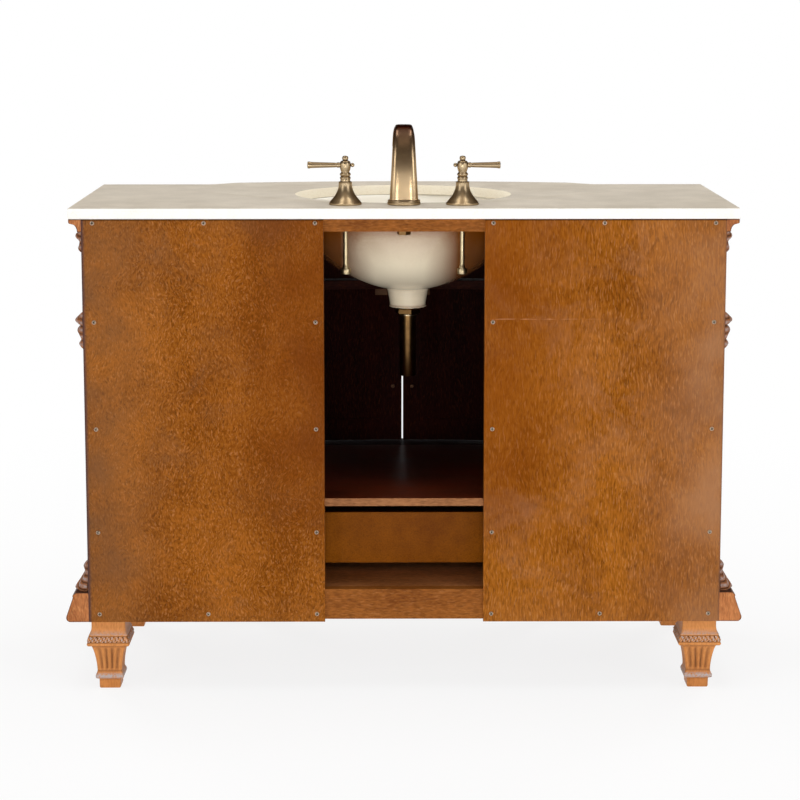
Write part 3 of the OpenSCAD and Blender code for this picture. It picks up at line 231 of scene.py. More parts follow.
for name, stretch, detail, low, high in (
    ("flecks", (350, 350, 85), 2.0, 0.37, 0.63), ("pores", (430, 430, 90), 1.0, 0.56, 0.70),
    ("painted_glints", (400, 400, 90), 1.0, 0.57, 0.71), ("figure", (26, 26, 2.4), 3.0, 0.30, 0.70),
    ("cloud", (6.5, 6.5, 5.0), 3.0, 0.32, 0.68),
):
    source = bent if name in ("figure", "cloud") else shorter
    noises[name] = spread(grain, noise(grain, scaled(grain, source, stretch), 1.0, detail), low, high)
tone = 0.5
for name, amount in (("flecks", "Flecks"), ("figure", "Figure"), ("cloud", "Cloud")):
    swing = calc(grain, "SUBTRACT", noises[name], 0.5)
    tone = calc(grain, "MULTIPLY_ADD", swing, given[amount], tone, clamp=name == "cloud")
colour = blend_colour(grain, tone, given["Deep"], given["Pale"])
shade = calc(grain, "MULTIPLY", noises["pores"], given["Pores"])
colour = blend_colour(grain, shade, colour, srgb(66, 30, 8))
# Painted highlight: pale glints along the grain
lift = calc(grain, "MULTIPLY", noises["painted_glints"], given["Painted Glints"])
colour = blend_colour(grain, lift, colour, srgb(208, 148, 92))
rough = calc(grain, "MULTIPLY_ADD", noises["cloud"], 0.12, given["Gloss"])
height = calc(grain, "MULTIPLY_ADD", noises["pores"], -1.0, noises["flecks"])
put_node(grain, "NodeGroupOutput", {"Color": colour, "Roughness": rough, "Height": height})

# Dark glaze left in the corners and hollows when the stain was wiped
wiped, given = effect_group("wiped_glaze", (
    ("Color", "Color", None), ("Glaze", "Color", None), ("Open", "Float", 1.0), ("Amount", "Float", 0.5),
    ("Vector", "Vector", None),
), (("Color", "Color"),))
hollow = spread(wiped, given["Open"], 0.93, 0.45)
patchy = spread(wiped, noise(wiped, given["Vector"], 120.0, 3.0), 0.3, 0.6, to_low=0.55)
held = calc(wiped, "MULTIPLY", calc(wiped, "MULTIPLY", hollow, patchy), given["Amount"])
colour = blend_colour(wiped, held, given["Color"], given["Glaze"])
put_node(wiped, "NodeGroupOutput", {"Color": colour})

grain_turn = {"z": (0, 0, 0), "x": (0, math.radians(90), 0), "y": (math.radians(90), 0, 0)}


def stained_wood(name, along, pale, deep, flecks=0.5, pores=0.3, painted_glints=0.12, figure=0.4, cloud=0.5, waver=0.02,
                 gloss=0.42, glaze=0.0, shift=(0, 0, 0), bump=0.2, silver=0.0, by_uv=False, shine=0.28, curl=7.0,
                 short=1.0):
    """Stained and lacquered wood whose grain runs along one axis, or along a moulding's own length."""
    made, tree = blank_material(name)
    source = put_node(tree, "ShaderNodeUVMap", uv_map="run").outputs[0] if by_uv else own_place(tree)
    turned_to = put_node(tree, "ShaderNodeMapping", {"Vector": source, "Location": shift,
                                                     "Rotation": grain_turn["y" if by_uv else along]})
    look = put_node(tree, "ShaderNodeGroup",
                    {"Vector": turned_to.outputs[0], "Pale": pale, "Deep": deep, "Flecks": flecks, "Pores": pores,
                     "Painted Glints": painted_glints, "Figure": figure, "Cloud": cloud, "Waver": waver, "Gloss": gloss,
                     "Curl": curl, "Short": short}, node_tree=grain)
    colour = look.outputs["Color"]
    if silver:
        silver_mark = put_node(tree, "ShaderNodeAttribute", attribute_name="silver").outputs["Fac"]
        broken = spread(tree, noise(tree, source, 260.0, 3.0), 0.30, 0.55)
        # Marks below zero take the glaze colour: glaze in the cuts, and the painted shade outline on the mouldings'
        # end caps
        cut = calc(tree, "MULTIPLY", silver_mark, -0.9, clamp=True)
        colour = blend_colour(tree, cut, colour, srgb(58, 27, 12))
        tips = calc(tree, "MULTIPLY", calc(tree, "MULTIPLY", silver_mark, broken, clamp=True), silver)
        colour = blend_colour(tree, tips, colour, srgb(172, 166, 166))
    if glaze:
        around = put_node(tree, "ShaderNodeAmbientOcclusion", {"Distance": 0.007}, only_local=True, samples=8)
        held = put_node(tree, "ShaderNodeGroup", {"Color": colour, "Glaze": srgb(44, 22, 14),
                                                  "Open": around.outputs["AO"], "Amount": glaze,
                                                  "Vector": source}, node_tree=wiped)
        colour = held.outputs[0]
    relief = put_node(tree, "ShaderNodeBump", {"Height": look.outputs["Height"], "Strength": bump,
                                               "Distance": 0.0006})
    skin = put_node(tree, "ShaderNodeBsdfPrincipled",
                    {"Base Color": colour, "Roughness": look.outputs["Roughness"],
                     "Normal": relief.outputs[0], "Specular IOR Level": shine})
    put_surface(tree, skin)
    return made


def finish_piece(name, bm, body, materials, nodes=(), sharp=32, recalc=True):
    """Makes the object: outward normals, crisp arrises, its materials, and its place in the model."""
    if recalc:
        bmesh.ops.recalc_face_normals(bm, faces=bm.faces)
    for face in bm.faces:
        face.smooth = True
    for edge in bm.edges:
        if len(edge.link_faces) == 2:
            edge.smooth = edge.calc_face_angle(0) < math.radians(sharp)
    mesh = bpy.data.meshes.new(name)
    bm.to_mesh(mesh)
    bm.free()
    for material in materials:
        mesh.materials.append(material)
    made = bpy.data.objects.new(name, mesh)
    bpy.context.scene.collection.objects.link(made)
    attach(made, body)
    if nodes:
        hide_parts(*nodes)
    return made


def eased_copy(name, node, body, material, width=0.0009, second=None, where=None):
    """The CAD solid as one merged mesh, its arrises taken off; some faces may have a second material."""
    bm = bmesh.new()
    bm.from_mesh(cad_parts[node].data)
    bmesh.ops.remove_doubles(bm, verts=bm.verts, dist=1e-5)
    bmesh.ops.dissolve_limit(bm, angle_limit=math.radians(0.3), verts=bm.verts, edges=bm.edges)
    bmesh.ops.recalc_face_normals(bm, faces=bm.faces)
    for face in bm.faces:
        face.material_index = 1 if where and where(face.normal, face.calc_center_median()) else 0
    made = finish_piece(name, bm, body, [material, second] if second else [material], [node])
    easing = made.modifiers.new("eased", "BEVEL")
    easing.width = width
    easing.segments = 2
    easing.limit_method = "ANGLE"
    easing.angle_limit = math.radians(40)
    easing.harden_normals = True
    return made


walnut_pale, walnut_deep = srgb(168, 98, 36), srgb(112, 53, 9)
inner_pale, inner_deep = srgb(36, 10, 7), srgb(14, 3, 2)
post_wood = stained_wood("post_wood", "z", walnut_pale, walnut_deep, glaze=0.5)
rail_wood = stained_wood("rail_wood", "x", walnut_pale, walnut_deep, glaze=0.5, shift=(0.3, 0.1, 0.7))
eased_copy("corner_posts", "posts", "cabinet", post_wood)
inner_rail = stained_wood("inner_rail", "x", srgb(46, 16, 9), srgb(18, 5, 3), shine=0.06, painted_glints=0.0)
eased_copy("face_rails", "front_rails", "cabinet", rail_wood, second=inner_rail,
           where=lambda normal, centre: normal.y > -0.3)
frame_wood = stained_wood("frame_wood", "x", srgb(149, 89, 34), srgb(105, 54, 9), glaze=0.3, shine=0.12)
eased_copy("back_rails_and_uprights", "back_frame", "cabinet", frame_wood)


# ---- Side panels
# A recessed panel with a raised, bevelled field fills each side between the posts.
# Rails close it above and below; all of it has the same stain, darker in the corners.
def relief_board(bm, across, up, thick, steps, place, parts=1, open_middle=False, slots=(0, 0, 0)):
    """Board whose face is cut in rectangles one inside the other; each step is an inset and a depth.

    place turns (across, depth, up) into a point; slots are the materials of rails, stiles and back.
    """
    (x0, x1), (z0, z1) = across, up

    def ring(inset, depth):
        xs = [x0 + inset + (x1 - x0 - 2 * inset) * i / parts for i in range(parts + 1)]
        return ([bm.verts.new(place(x, depth, z0 + inset)) for x in xs],
                [bm.verts.new(place(x, depth, z1 - inset)) for x in xs])

    rings = [ring(0, thick)] + [ring(inset, depth) for inset, depth in steps]
    if open_middle:
        rings += [ring(steps[-1][0], thick - 0.004), ring(steps[-1][0], thick)]
    follow = rings[1:] + ([rings[0]] if open_middle else [])
    for number, (one, two) in enumerate(zip(rings, follow)):
        last = open_middle and number >= len(rings) - 2
        rail, stile = (slots[2], slots[2]) if last else slots[:2]
        for row, (a, b) in enumerate(zip(one, two)):
            for i in range(parts):
                bm.faces.new((a[i], a[i + 1], b[i + 1], b[i])).material_index = rail
        for i in (0, parts):
            bm.faces.new((one[0][i], two[0][i], two[1][i], one[1][i])).material_index = stile
    if not open_middle:
        for (low, high), slot in ((rings[-1], slots[1]), (rings[0], slots[2])):
            for i in range(parts):
                bm.faces.new((low[i], low[i + 1], high[i + 1], high[i])).material_index = slot


side_field = stained_wood("side_field", "z", walnut_pale, walnut_deep, figure=0.8, cloud=0.6, glaze=0.7,
                          shift=(0.2, 0.5, 0.1))
for side, sign in (("left", -1), ("right", 1)):
    low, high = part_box("side_panel_" + side)
    inner = min(abs(low.x), abs(high.x))
    ply, recess, rail = 0.012, 0.008, 0.070
    bm = bmesh.new()
    relief_board(bm, (low.y, high.y), (low.z, high.z), ply,
                 [(0.0, 0.0), (rail + 0.012, 0.0), (rail + 0.016, 0.0022), (rail + 0.021, 0.0026),
                  (rail + 0.024, 0.0010), (rail + 0.050, -0.0052), (rail + 0.053, -0.0060)],
                 lambda y, depth, z: Vector((sign * (inner + ply - depth), y, z)))
    for bottom in (low.z, high.z - rail):
        relief_board(bm, (low.y, high.y), (bottom, bottom + rail), recess,
                     [(0.0, 0.0012), (0.0004, 0.0004), (0.0012, 0.0)],
                     lambda y, depth, z: Vector((sign * (inner + ply + recess - depth), y, z)))
    finish_piece("side_field_" + side, bm, "cabinet", [side_field], ["side_panel_" + side])


# ---- Back panels
# Two 5 mm plywood sheets screwed to the frame. Their stain is orange-brown, with short dark
# flecks along the grain, clouds where it was wiped unevenly, and a pale painted sheen near the edges that stands for
# the lacquer's reflection.
painted_light_and_wear, given = effect_group("sheet_painted_light_and_wear", (
    ("Color", "Color", None), ("Vector", "Vector", None), ("Painted Sheen", "Color", None), ("Deep", "Color", None),
    ("Amount", "Float", 0.4), ("Outer", "Float", 0.5865), ("Inner", "Float", 0.147), ("Foot", "Float", 0.134),
    ("Head", "Float", 0.887), ("Scratch", "Float", 0.0),
), (("Color", "Color"),))
axes = put_node(painted_light_and_wear, "ShaderNodeSeparateXYZ", {0: given["Vector"]}).outputs


def distance_mask(one, two, width):
    """1 where two heights or offsets meet, falling smoothly to 0 at the given width."""
    apart = calc(painted_light_and_wear, "ABSOLUTE", calc(painted_light_and_wear, "SUBTRACT", one, two))
    return put_node(painted_light_and_wear, "ShaderNodeMapRange", {"Value": apart, "From Min": width, "From Max": 0.0},
                    interpolation_type="SMOOTHSTEP").outputs[0]


# Painted reflection: a pale sheen near the outer edges, along the foot and in patches
off_centre = calc(painted_light_and_wear, "ABSOLUTE", axes["X"])
uneven = spread(painted_light_and_wear, noise(painted_light_and_wear, given["Vector"], 10.0, 3.0), 0.3, 0.7, to_low=0.25)
low_part = calc(painted_light_and_wear, "MULTIPLY", distance_mask(axes["Z"], given["Foot"], 0.07), 0.22)
painted_sheen_mask = calc(painted_light_and_wear, "MAXIMUM", distance_mask(off_centre, given["Outer"], 0.20), low_part)
patches = put_node(painted_light_and_wear, "ShaderNodeTexNoise", {"Vector": given["Vector"], "Scale": 7.0, "Detail": 5.0,
                                                "Roughness": 0.7, "Distortion": 0.6})
painted_sheen_mask = calc(painted_light_and_wear, "MAXIMUM", painted_sheen_mask, spread(painted_light_and_wear, patches.outputs[0], 0.47, 0.75, to_high=0.9))
painted_sheen_mask = calc(painted_light_and_wear, "MULTIPLY", calc(painted_light_and_wear, "MULTIPLY", painted_sheen_mask, uneven), given["Amount"])
colour = blend_colour(painted_light_and_wear, painted_sheen_mask, given["Color"], given["Painted Sheen"])

# Richer stain beside the bay; painted shade: a dark rim at the outer edge for the post's shaded side,
# and a painted shadow line under the stone
inside = calc(painted_light_and_wear, "MULTIPLY", distance_mask(off_centre, given["Inner"], 0.26), spread(painted_light_and_wear, axes["Z"], 0.22, 0.45))
strong = spread(painted_light_and_wear, uneven, 0.25, 1.0, to_low=0.6)
inside = calc(painted_light_and_wear, "MULTIPLY", calc(painted_light_and_wear, "MULTIPLY", inside, strong), 0.85)
colour = blend_colour(painted_light_and_wear, inside, colour, given["Deep"])
rim = calc(painted_light_and_wear, "MULTIPLY", distance_mask(off_centre, given["Outer"], 0.0080), 0.9)
colour = blend_colour(painted_light_and_wear, rim, colour, srgb(70, 52, 54))
shadow = calc(painted_light_and_wear, "MULTIPLY", distance_mask(axes["Z"], given["Head"], 0.0045), 0.9)
colour = blend_colour(painted_light_and_wear, shadow, colour, srgb(44, 16, 6))

# A level scratch that breaks off towards the outer edge
line = calc(painted_light_and_wear, "MULTIPLY", distance_mask(axes["Z"], 0.7035, 0.0018), uneven)
dashes = spread(painted_light_and_wear, noise(painted_light_and_wear, scaled(painted_light_and_wear, given["Vector"], (55, 1, 300)), 1.0, 2.0), 0.42, 0.62)
line = calc(painted_light_and_wear, "MULTIPLY", calc(painted_light_and_wear, "MULTIPLY", line, dashes), spread(painted_light_and_wear, off_centre, 0.40, 0.15))
line = calc(painted_light_and_wear, "MULTIPLY", line, given["Scratch"])
colour = blend_colour(painted_light_and_wear, line, colour, srgb(204, 150, 104))
put_node(painted_light_and_wear, "NodeGroupOutput", {"Color": colour})

for side, pale, deep, painted_sheen, rich, waver, curl, short, rim_at, scratch, shift in (
    ("right", srgb(160, 95, 30), srgb(110, 57, 3), srgb(102, 70, 46), srgb(98, 43, 0), 0.042, 16.0, 1.5,
     0.5865, 0.0, (0, 0, 0)),
    ("left", srgb(158, 94, 26), srgb(112, 58, 1), srgb(160, 114, 80), srgb(114, 54, 0), 0.020, 12.0, 0.75,
     0.5900, 0.8, (0.9, 0.4, 0.2)),
):
    ply = stained_wood("stained_ply_" + side, "z", pale, deep, flecks=0.60, pores=0.45, painted_glints=0.26, figure=0.16,
                       cloud=0.75, waver=waver, gloss=0.46, shift=shift, bump=0.35, shine=0.05, curl=curl,
                       short=short)
    tree = ply.node_tree
    skin = next(n for n in tree.nodes if n.type == "BSDF_PRINCIPLED")
    worn = put_node(tree, "ShaderNodeGroup",
                    {"Color": skin.inputs["Base Color"].links[0].from_socket, "Vector": own_place(tree),
                     "Painted Sheen": painted_sheen, "Deep": rich, "Amount": 0.8, "Outer": rim_at, "Scratch": scratch},
                    node_tree=painted_light_and_wear)
    tree.links.new(worn.outputs[0], skin.inputs["Base Color"])
    eased_copy("back_sheet_" + side, "back_panel_" + side, "cabinet", ply, 0.0006)


# ---- Boards inside
# The partitions and runners are nearly black-brown and the centre shelf's top dark brown; the
# shelf's faces that look to the back are paler, and the bottom board is a paler brown. The drawers run on hardwood
# runners.
inner_wood = stained_wood("inner_wood", "y", srgb(50, 20, 13), srgb(22, 8, 5), gloss=0.5, shine=0.1, painted_glints=0.0)
shelf_edge = stained_wood("shelf_edge", "x", srgb(152, 102, 64), srgb(108, 64, 32), glaze=0.3, shine=0.15)
shelf_top = stained_wood("shelf_top", "x", srgb(88, 30, 7), srgb(46, 14, 4), gloss=0.34, painted_glints=0.02)
floor_wood = stained_wood("floor_wood", "x", srgb(180, 116, 70), srgb(106, 60, 26), gloss=0.42, painted_glints=0.3)
eased_copy("partition_boards", "partitions", "cabinet", inner_wood)
eased_copy("bottom_boards", "bottom_board", "cabinet", floor_wood)
eased_copy("shelf_board", "center_shelf", "cabinet", shelf_top, second=shelf_edge,
           where=lambda normal, centre: normal.y > 0.5)
eased_copy("runner_bars", "drawer_runners", "cabinet", inner_wood, 0.0005)


# ---- Crown and plinth
# Shaped hardwood mouldings, mitred at the corners and run round the sides and the bowed front.
# The stain is wiped off their noses and stays dark in the cove and under the nose.
bow_radius, bow_centre = 1.672, 1.425


def bow_point(x, out=0.0):
    """Point on the bowed front, a distance out from its face."""
    return -math.sqrt((bow_radius + out) ** 2 - x * x) + bow_centre


def bow_normal(x):
    """Outward direction of the bowed front."""
    turn = math.asin(x / bow_radius)
    return Vector((math.sin(turn), -math.cos(turn), 0))


def moulding_run(bm, corners, profile, lengths):
    """Sweeps a profile of (out, up, silver) along corners, each (point, outward mitre vector)."""
    run = bm.loops.layers.uv.new("run")
    silver_mark = bm.verts.layers.float.new("silver")
    across = [0.0]
    for (a, b, _), (c, d, _) in zip(profile, profile[1:]):
        across.append(across[-1] + math.hypot(c - a, d - b))
    rows = []
    for point, mitre in corners:
        row = []
        for out, up, silver in profile:
            vert = bm.verts.new((point[0] + mitre[0] * out, point[1] + mitre[1] * out, up))
            vert[silver_mark] = silver
            row.append(vert)
        rows.append(row)
    for i, (a, b) in enumerate(zip(rows, rows[1:])):
        for j in range(len(profile)):
            k = (j + 1) % len(profile)
            face = bm.faces.new((a[j], b[j], b[k], a[k]))
            for loop, (s, t) in zip(face.loops, ((i, j), (i + 1, j), (i + 1, k), (i, k))):
                loop[run].uv = (across[t], lengths[s])
    top_of, foot_of = max(p[1] for p in profile), min(p[1] for p in profile)
    for row, (point, mitre) in ((rows[0], corners[0]), (rows[-1], corners[-1])):
        inner = []
        for out, up, _ in profile:
            out, up = max(out - 0.0024, 0.0), min(max(up, foot_of + 0.0022), top_of - 0.0018)
            inner.append(bm.verts.new((point[0] + mitre[0] * out, point[1] + mitre[1] * out, up)))
        for j, vert in enumerate(inner):
            k = (j + 1) % len(inner)
            bm.faces.new((row[j], row[k], inner[k], vert)).material_index = 1
        bm.faces.new(inner).material_index = 1
        # Painted shade: a dark outline round the edge of each end cap
        for vert, (_, _, silver) in zip(row, profile):
            vert[silver_mark] = min(silver, 0.0) - 0.9


half, front, bay, back = 0.5865, -0.176, 0.330, 0.287
path = [(half, back), (half, front), (bay, front)]
path += [(x, bow_point(x)) for x in [bay * (1 - 2 * i / 32) for i in range(33)]]
path += [(-bay, front), (-half, front), (-half, back)]
mitres = []
for i, here in enumerate(path):
    normals = []
    for a, b in ((i - 1, i), (i, i + 1)):
        if 0 <= a and b < len(path):
            step = (Vector(path[b]) - Vector(path[a])).normalized()
            normals.append(Vector((-step.y, step.x)))
    if abs(here[0]) < bay:
        normals = [(Vector(here) - Vector((0, bow_centre))).normalized()]
    total = sum(normals, Vector((0, 0)))
    mitres.append(total / (1 + normals[0].dot(normals[1])) if len(normals) == 2 else total)
lengths = [0.0]
for a, b in zip(path, path[1:]):
    lengths.append(lengths[-1] + math.dist(a, b))
corners = list(zip(path, mitres))

moulding_wood = stained_wood("moulding_wood", "z", srgb(176, 108, 54), srgb(118, 60, 20), glaze=0.9, silver=0.9,
                             by_uv=True)
# The end caps are a lighter copper, partly the end grain's stain and partly a painted highlight
end_grain_with_painted_light = stained_wood("end_grain_with_painted_light", "z", srgb(188, 118, 66), srgb(132, 70, 26), cloud=0.8, painted_glints=0.4, silver=0.9)
cove = [(0.0167 - 0.0097 * math.sin(math.radians(t)), 0.864 + 0.014 * math.cos(math.radians(t)), -0.35)
        for t in range(90, -1, -10)]
crown = [(0.0, 0.864, 0)] + cove + [(0.0180, 0.8785, 0.6), (0.0205, 0.8790, 0.6), (0.0222, 0.8802, 0.8),
                                    (0.0226, 0.8815, 0.9), (0.0226, 0.8866, 0.3), (0.0, 0.8866, 0)]
bm = bmesh.new()
moulding_run(bm, corners, crown, lengths)
finish_piece("crown_run", bm, "cabinet", [moulding_wood, end_grain_with_painted_light], ["crown_moulding"])
toe = [(0.034 + 0.008 * math.cos(math.radians(t)), 0.142 + 0.008 * math.sin(math.radians(t)), 0.35)
       for t in range(-90, 26, 15)]
slope = [(0.0412 + (0.0292 - 0.0412) * s, 0.1456 + (0.1800 - 0.1456) * s, 0.2 if 0.3 < s < 0.8 else 0.05)
         for s in (0.05, 0.15, 0.3, 0.34, 0.4, 0.6, 0.8, 0.84, 0.95)]
nose = [(0.0290, 0.1812, 0.9), (0.0296, 0.1830, 1.0), (0.0292, 0.1852, 1.0), (0.0278, 0.1868, 0.9),
        (0.0252, 0.1876, 0.3), (0.0245, 0.1898, -0.2), (0.0, 0.1898, -0.3)]
bm = bmesh.new()
moulding_run(bm, corners, [(0.0, 0.1342, 0)] + toe + slope + nose, lengths)
finish_piece("plinth_run", bm, "cabinet", [moulding_wood, end_grain_with_painted_light], ["plinth_moulding"])


# ---- Carved ornaments
# Acanthus brackets carved in hardwood and glued to every post face and pilaster: one under the
# crown, one below it, one on the plinth. Dark glaze fills their cuts and their tips are silvered.
def smooth_between(before, a, b, after, t):
    """Value on a smooth curve through four values, a share of the way from the second to the third."""
    return 0.5 * (2 * a + (b - before) * t + (2 * before - 5 * a + 4 * b - after) * t * t
                  + (3 * a - before - 3 * b + after) * t ** 3)


def along(line, at):
    """Smooth value at a height of a line of (value, height) pairs."""
    line = sorted(line, key=lambda p: p[1])
    for i, ((a, p), (b, q)) in enumerate(zip(line, line[1:])):
        if at <= q:
            before = line[i - 1][0] if i else a
            after = line[i + 2][0] if i + 2 < len(line) else b
            return smooth_between(before, a, b, after, (at - p) / (q - p))
    return line[-1][0]


def carved_leaf(bm, line, foot, place, width=0.036, rows=56, columns=30):
    """Leaf with a raised rib and leaflets falling away to its scalloped edges."""
    silver_mark = bm.verts.layers.float["silver"]
    tall, leaflet_high, vein = max(p[1] for p in line), 0.0135, 0.19
    grid = []
    for r in range(rows + 1):
        z = tall * r / rows
        out = max(along(line, z), 0.0)
        row = []
        for c in range(columns + 1):
            u = -1 + 2 * c / columns
            t = abs(u)
            leaflet = abs(math.sin(math.pi * (z / leaflet_high + 0.85 * t)))
            valley = (1 - leaflet) ** 2.5 * min(1.0, max(0.0, (t - 0.10) / 0.15))
            groove = math.exp(-((t - vein) / 0.06) ** 2)
            rib = math.exp(-(t / 0.09) ** 2) - 0.8 * groove
            body = (1 - 0.34 * t * t) * (1.0 if t < 0.86 else 1 - 0.75 * ((t - 0.86) / 0.14) ** 2)
            full = max(body * (0.90 + 0.10 * rib - 0.30 * valley), 0.06)
            reach = 1.0 - 0.20 * (1 - leaflet ** 0.5) * t ** 3
            vert = bm.verts.new(place(u * width / 2 * reach, out * full, foot + z))
            tip = min(1.0, out / 0.009) * leaflet
            vert[silver_mark] = -0.95 * max(valley, 0.7 * groove) + 0.60 * tip ** 3
            row.append(vert)
        grid.append(row)
    under = [[bm.verts.new(place(side * width * 0.48, -0.0006, z)) for side in (-1, 1)]
             for z in (foot, foot + tall)]
    for a, b in zip(grid, grid[1:]):
        for i in range(columns):
            bm.faces.new((a[i], a[i + 1], b[i + 1], b[i]))
    bm.faces.new([under[0][1], under[0][0]] + grid[0])
    bm.faces.new([under[1][0], under[1][1]] + grid[-1][::-1])
    bm.faces.new([under[0][0], under[1][0]] + [row[0] for row in reversed(grid)])
    bm.faces.new([under[1][1], under[0][1]] + [row[-1] for row in grid])
    bm.faces.new((under[0][0], under[0][1], under[1][1], under[1][0]))


leaf_lines = (
    (0.826, [(0.0050, 0.0), (0.0088, 0.0030), (0.0094, 0.0060), (0.0080, 0.0110), (0.0068, 0.0180),
             (0.0088, 0.0215), (0.0130, 0.0245), (0.0140, 0.0280), (0.0128, 0.0320), (0.0085, 0.0360),
             (0.0030, 0.0378)]),
    (0.646, [(0.0015, 0.0), (0.0070, 0.0030), (0.0110, 0.0070), (0.0108, 0.0105), (0.0080, 0.0150),
             (0.0074, 0.0185), (0.0105, 0.0250), (0.0138, 0.0320), (0.0132, 0.0370), (0.0098, 0.0420),
             (0.0080, 0.0446), (0.0122, 0.0458), (0.0168, 0.0500), (0.0172, 0.0540), (0.0140, 0.0585),
             (0.0098, 0.0625), (0.0050, 0.0670), (0.0012, 0.0700)]),
    (0.190, [(0.0232, 0.0), (0.0272, 0.0020), (0.0278, 0.0045), (0.0250, 0.0100), (0.0185, 0.0200),
             (0.0130, 0.0290), (0.0092, 0.0365), (0.0100, 0.0400), (0.0116, 0.0440), (0.0106, 0.0480),
             (0.0068, 0.0535), (0.0030, 0.0568)]),
)
faces = []
for sign in (-1, 1):
    faces += [lambda u, out, z, s=sign, y=y: Vector((s * (half + out), y + u, z)) for y in (0.2595, -0.151)]
    faces.append(lambda u, out, z, s=sign: Vector((s * 0.5615 + u, front - out, z)))
    faces.append(lambda u, out, z, n=bow_normal(sign * 0.305): Vector(
        (n.x * (bow_radius + out) - n.y * u, bow_centre + n.y * (bow_radius + out) + n.x * u, z)))
carving_wood = stained_wood("carving_wood", "z", srgb(170, 108, 62), srgb(112, 60, 26), glaze=1.0, silver=1.0,
                            figure=0.2, bump=0.1, flecks=0.25)
bm = bmesh.new()
bm.verts.layers.float.new("silver")
for place in faces:
    for foot, line in leaf_lines:
        carved_leaf(bm, line, foot, place)
finish_piece("acanthus_brackets", bm, "cabinet", [carving_wood], ["leaf_carvings"], 60)


# ---- Feet
# Six square carved feet: a block, a rounded collar, a fluted taper, a notched band with a rope
# twist over it, and a cove up to the neck. The same honey stain, silvered on the rope and collar.
foot_line = [(0.0188, 0.0, 0), (0.0198, 0.002, 0), (0.0200, 0.0165, 0), (0.0204, 0.0182, 0), (0.0232, 0.0192, 0.3),
             (0.0258, 0.0208, 0.6), (0.0265, 0.0235, 0.9), (0.0262, 0.0262, 0.9), (0.0248, 0.0290, 0.5),
             (0.0235, 0.0315, 0.0), (0.0230, 0.0345, -0.5), (0.0232, 0.040, 0), (0.0238, 0.047, 0),
             (0.0247, 0.054, 0), (0.0258, 0.061, 0), (0.0272, 0.068, 0), (0.0288, 0.075, 0), (0.0305, 0.0805, 0),
             (0.0318, 0.0835, -0.2), (0.0322, 0.0845, -0.8), (0.0342, 0.0850, -0.5), (0.0382, 0.0862, 0),
             (0.0398, 0.0885, 0), (0.0400, 0.0905, 0), (0.0393, 0.0922, -0.3), (0.0386, 0.0930, -0.8),
             (0.0396, 0.0945, 1), (0.0396, 0.0975, 1), (0.0388, 0.1005, 1), (0.0374, 0.1030, 0.6),
             (0.0358, 0.1042, -0.8), (0.0362, 0.1055, 0.0), (0.0360, 0.1072, 0.5), (0.0348, 0.1085, 0.5),
             (0.0336, 0.1110, 0.3), (0.0326, 0.1140, 0.1), (0.0319, 0.1175, 0), (0.0315, 0.1210, -0.1),
             (0.0315, 0.1342, 0)]
taper_foot, taper_head = 0.036, 0.0835
levels = []
for (a, p, u), (b, q, v) in zip(foot_line, foot_line[1:]):
    parts = max(1, round((q - p) / 0.0025)) if 0.0345 <= p < taper_head else 1
    levels += [(a + (b - a) * i / parts, p + (q - p) * i / parts, u + (v - u) * i / parts) for i in range(parts)]
levels.append(foot_line[-1])
bm = bmesh.new()
silver_mark = bm.verts.layers.float.new("silver")
per_side, round_off, notch_wide, strand_wide, strand_high = 26, 0.0022, 0.0082, 0.0080, 0.0125
for cx, cy in [(s * x, y) for s in (-1, 1) for x, y in ((0.552, 0.246), (0.552, -0.139), (0.300, -0.183))]:
    rows = []
    for half_side, z, silver in levels:
        row = []
        for side in range(4):
            a = math.radians(90 * side)
            for i in range(per_side):
                s = -1 + 2 * (i + 0.5) / per_side
                w, out, mark = s * half_side, half_side, silver
                over = abs(w) - (half_side - round_off)
                if over > 0:
                    out -= round_off - math.sqrt(max(round_off ** 2 - over ** 2, 0))
                if taper_foot < z < taper_head:
                    fade = max(min(1.0, (z - taper_foot) / 0.004, (taper_head - z) / 0.006), 0)
                    flute = abs(math.cos(math.pi * 2.5 * s)) if abs(s) < 0.8 else 1.0
                    out -= 0.0026 * (1 - flute ** 0.9) * fade ** 0.5
                    mark = -0.55 * (1 - flute) ** 0.8 * fade
                if 0.0855 < z < 0.0925:
                    out -= 0.0013 * (1 - abs(math.sin(math.pi * w / notch_wide))) ** 1.5
                if 0.0935 < z < 0.1035:
                    wave = math.sin(2 * math.pi * (w / strand_wide + (z - 0.098) / strand_high))
                    out += 0.0014 * wave - 0.0010
                    mark = 1.8 * wave if wave > 0 else 1.4 * wave
                vert = bm.verts.new((cx + math.cos(a) * out - math.sin(a) * w,
                                     cy + math.sin(a) * out + math.cos(a) * w, z))
                vert[silver_mark] = mark
                row.append(vert)
        rows.append(row)
    for a, b in zip(rows, rows[1:]):
        for i in range(4 * per_side):
            k = (i + 1) % (4 * per_side)
            bm.faces.new((a[i], a[k], b[k], b[i]))
    bm.faces.new(rows[0][::-1])
    bm.faces.new(rows[-1])
foot_wood = stained_wood("foot_wood", "z", srgb(222, 150, 84), srgb(172, 104, 46), glaze=1.0, silver=1.0,
                         figure=0.25, bump=0.08, flecks=0.25, pores=0.15, painted_glints=0.1)
finish_piece("carved_feet", bm, "cabinet", [foot_wood], ["feet"], 50)


# ---- Stone top
# A 20 mm slab of polished beige marble, cut to the bowed plan, with an oval cut-out for the basin
# and three tap holes. Its sawn edge is lighter than its finely mottled top; the arrises are eased.
def oval_ring(cx, cy, a, b, z, count=112):
    return [Vector((cx + a * math.cos(math.tau * i / count), cy + b * math.sin(math.tau * i / count), z))
            for i in range(count)]


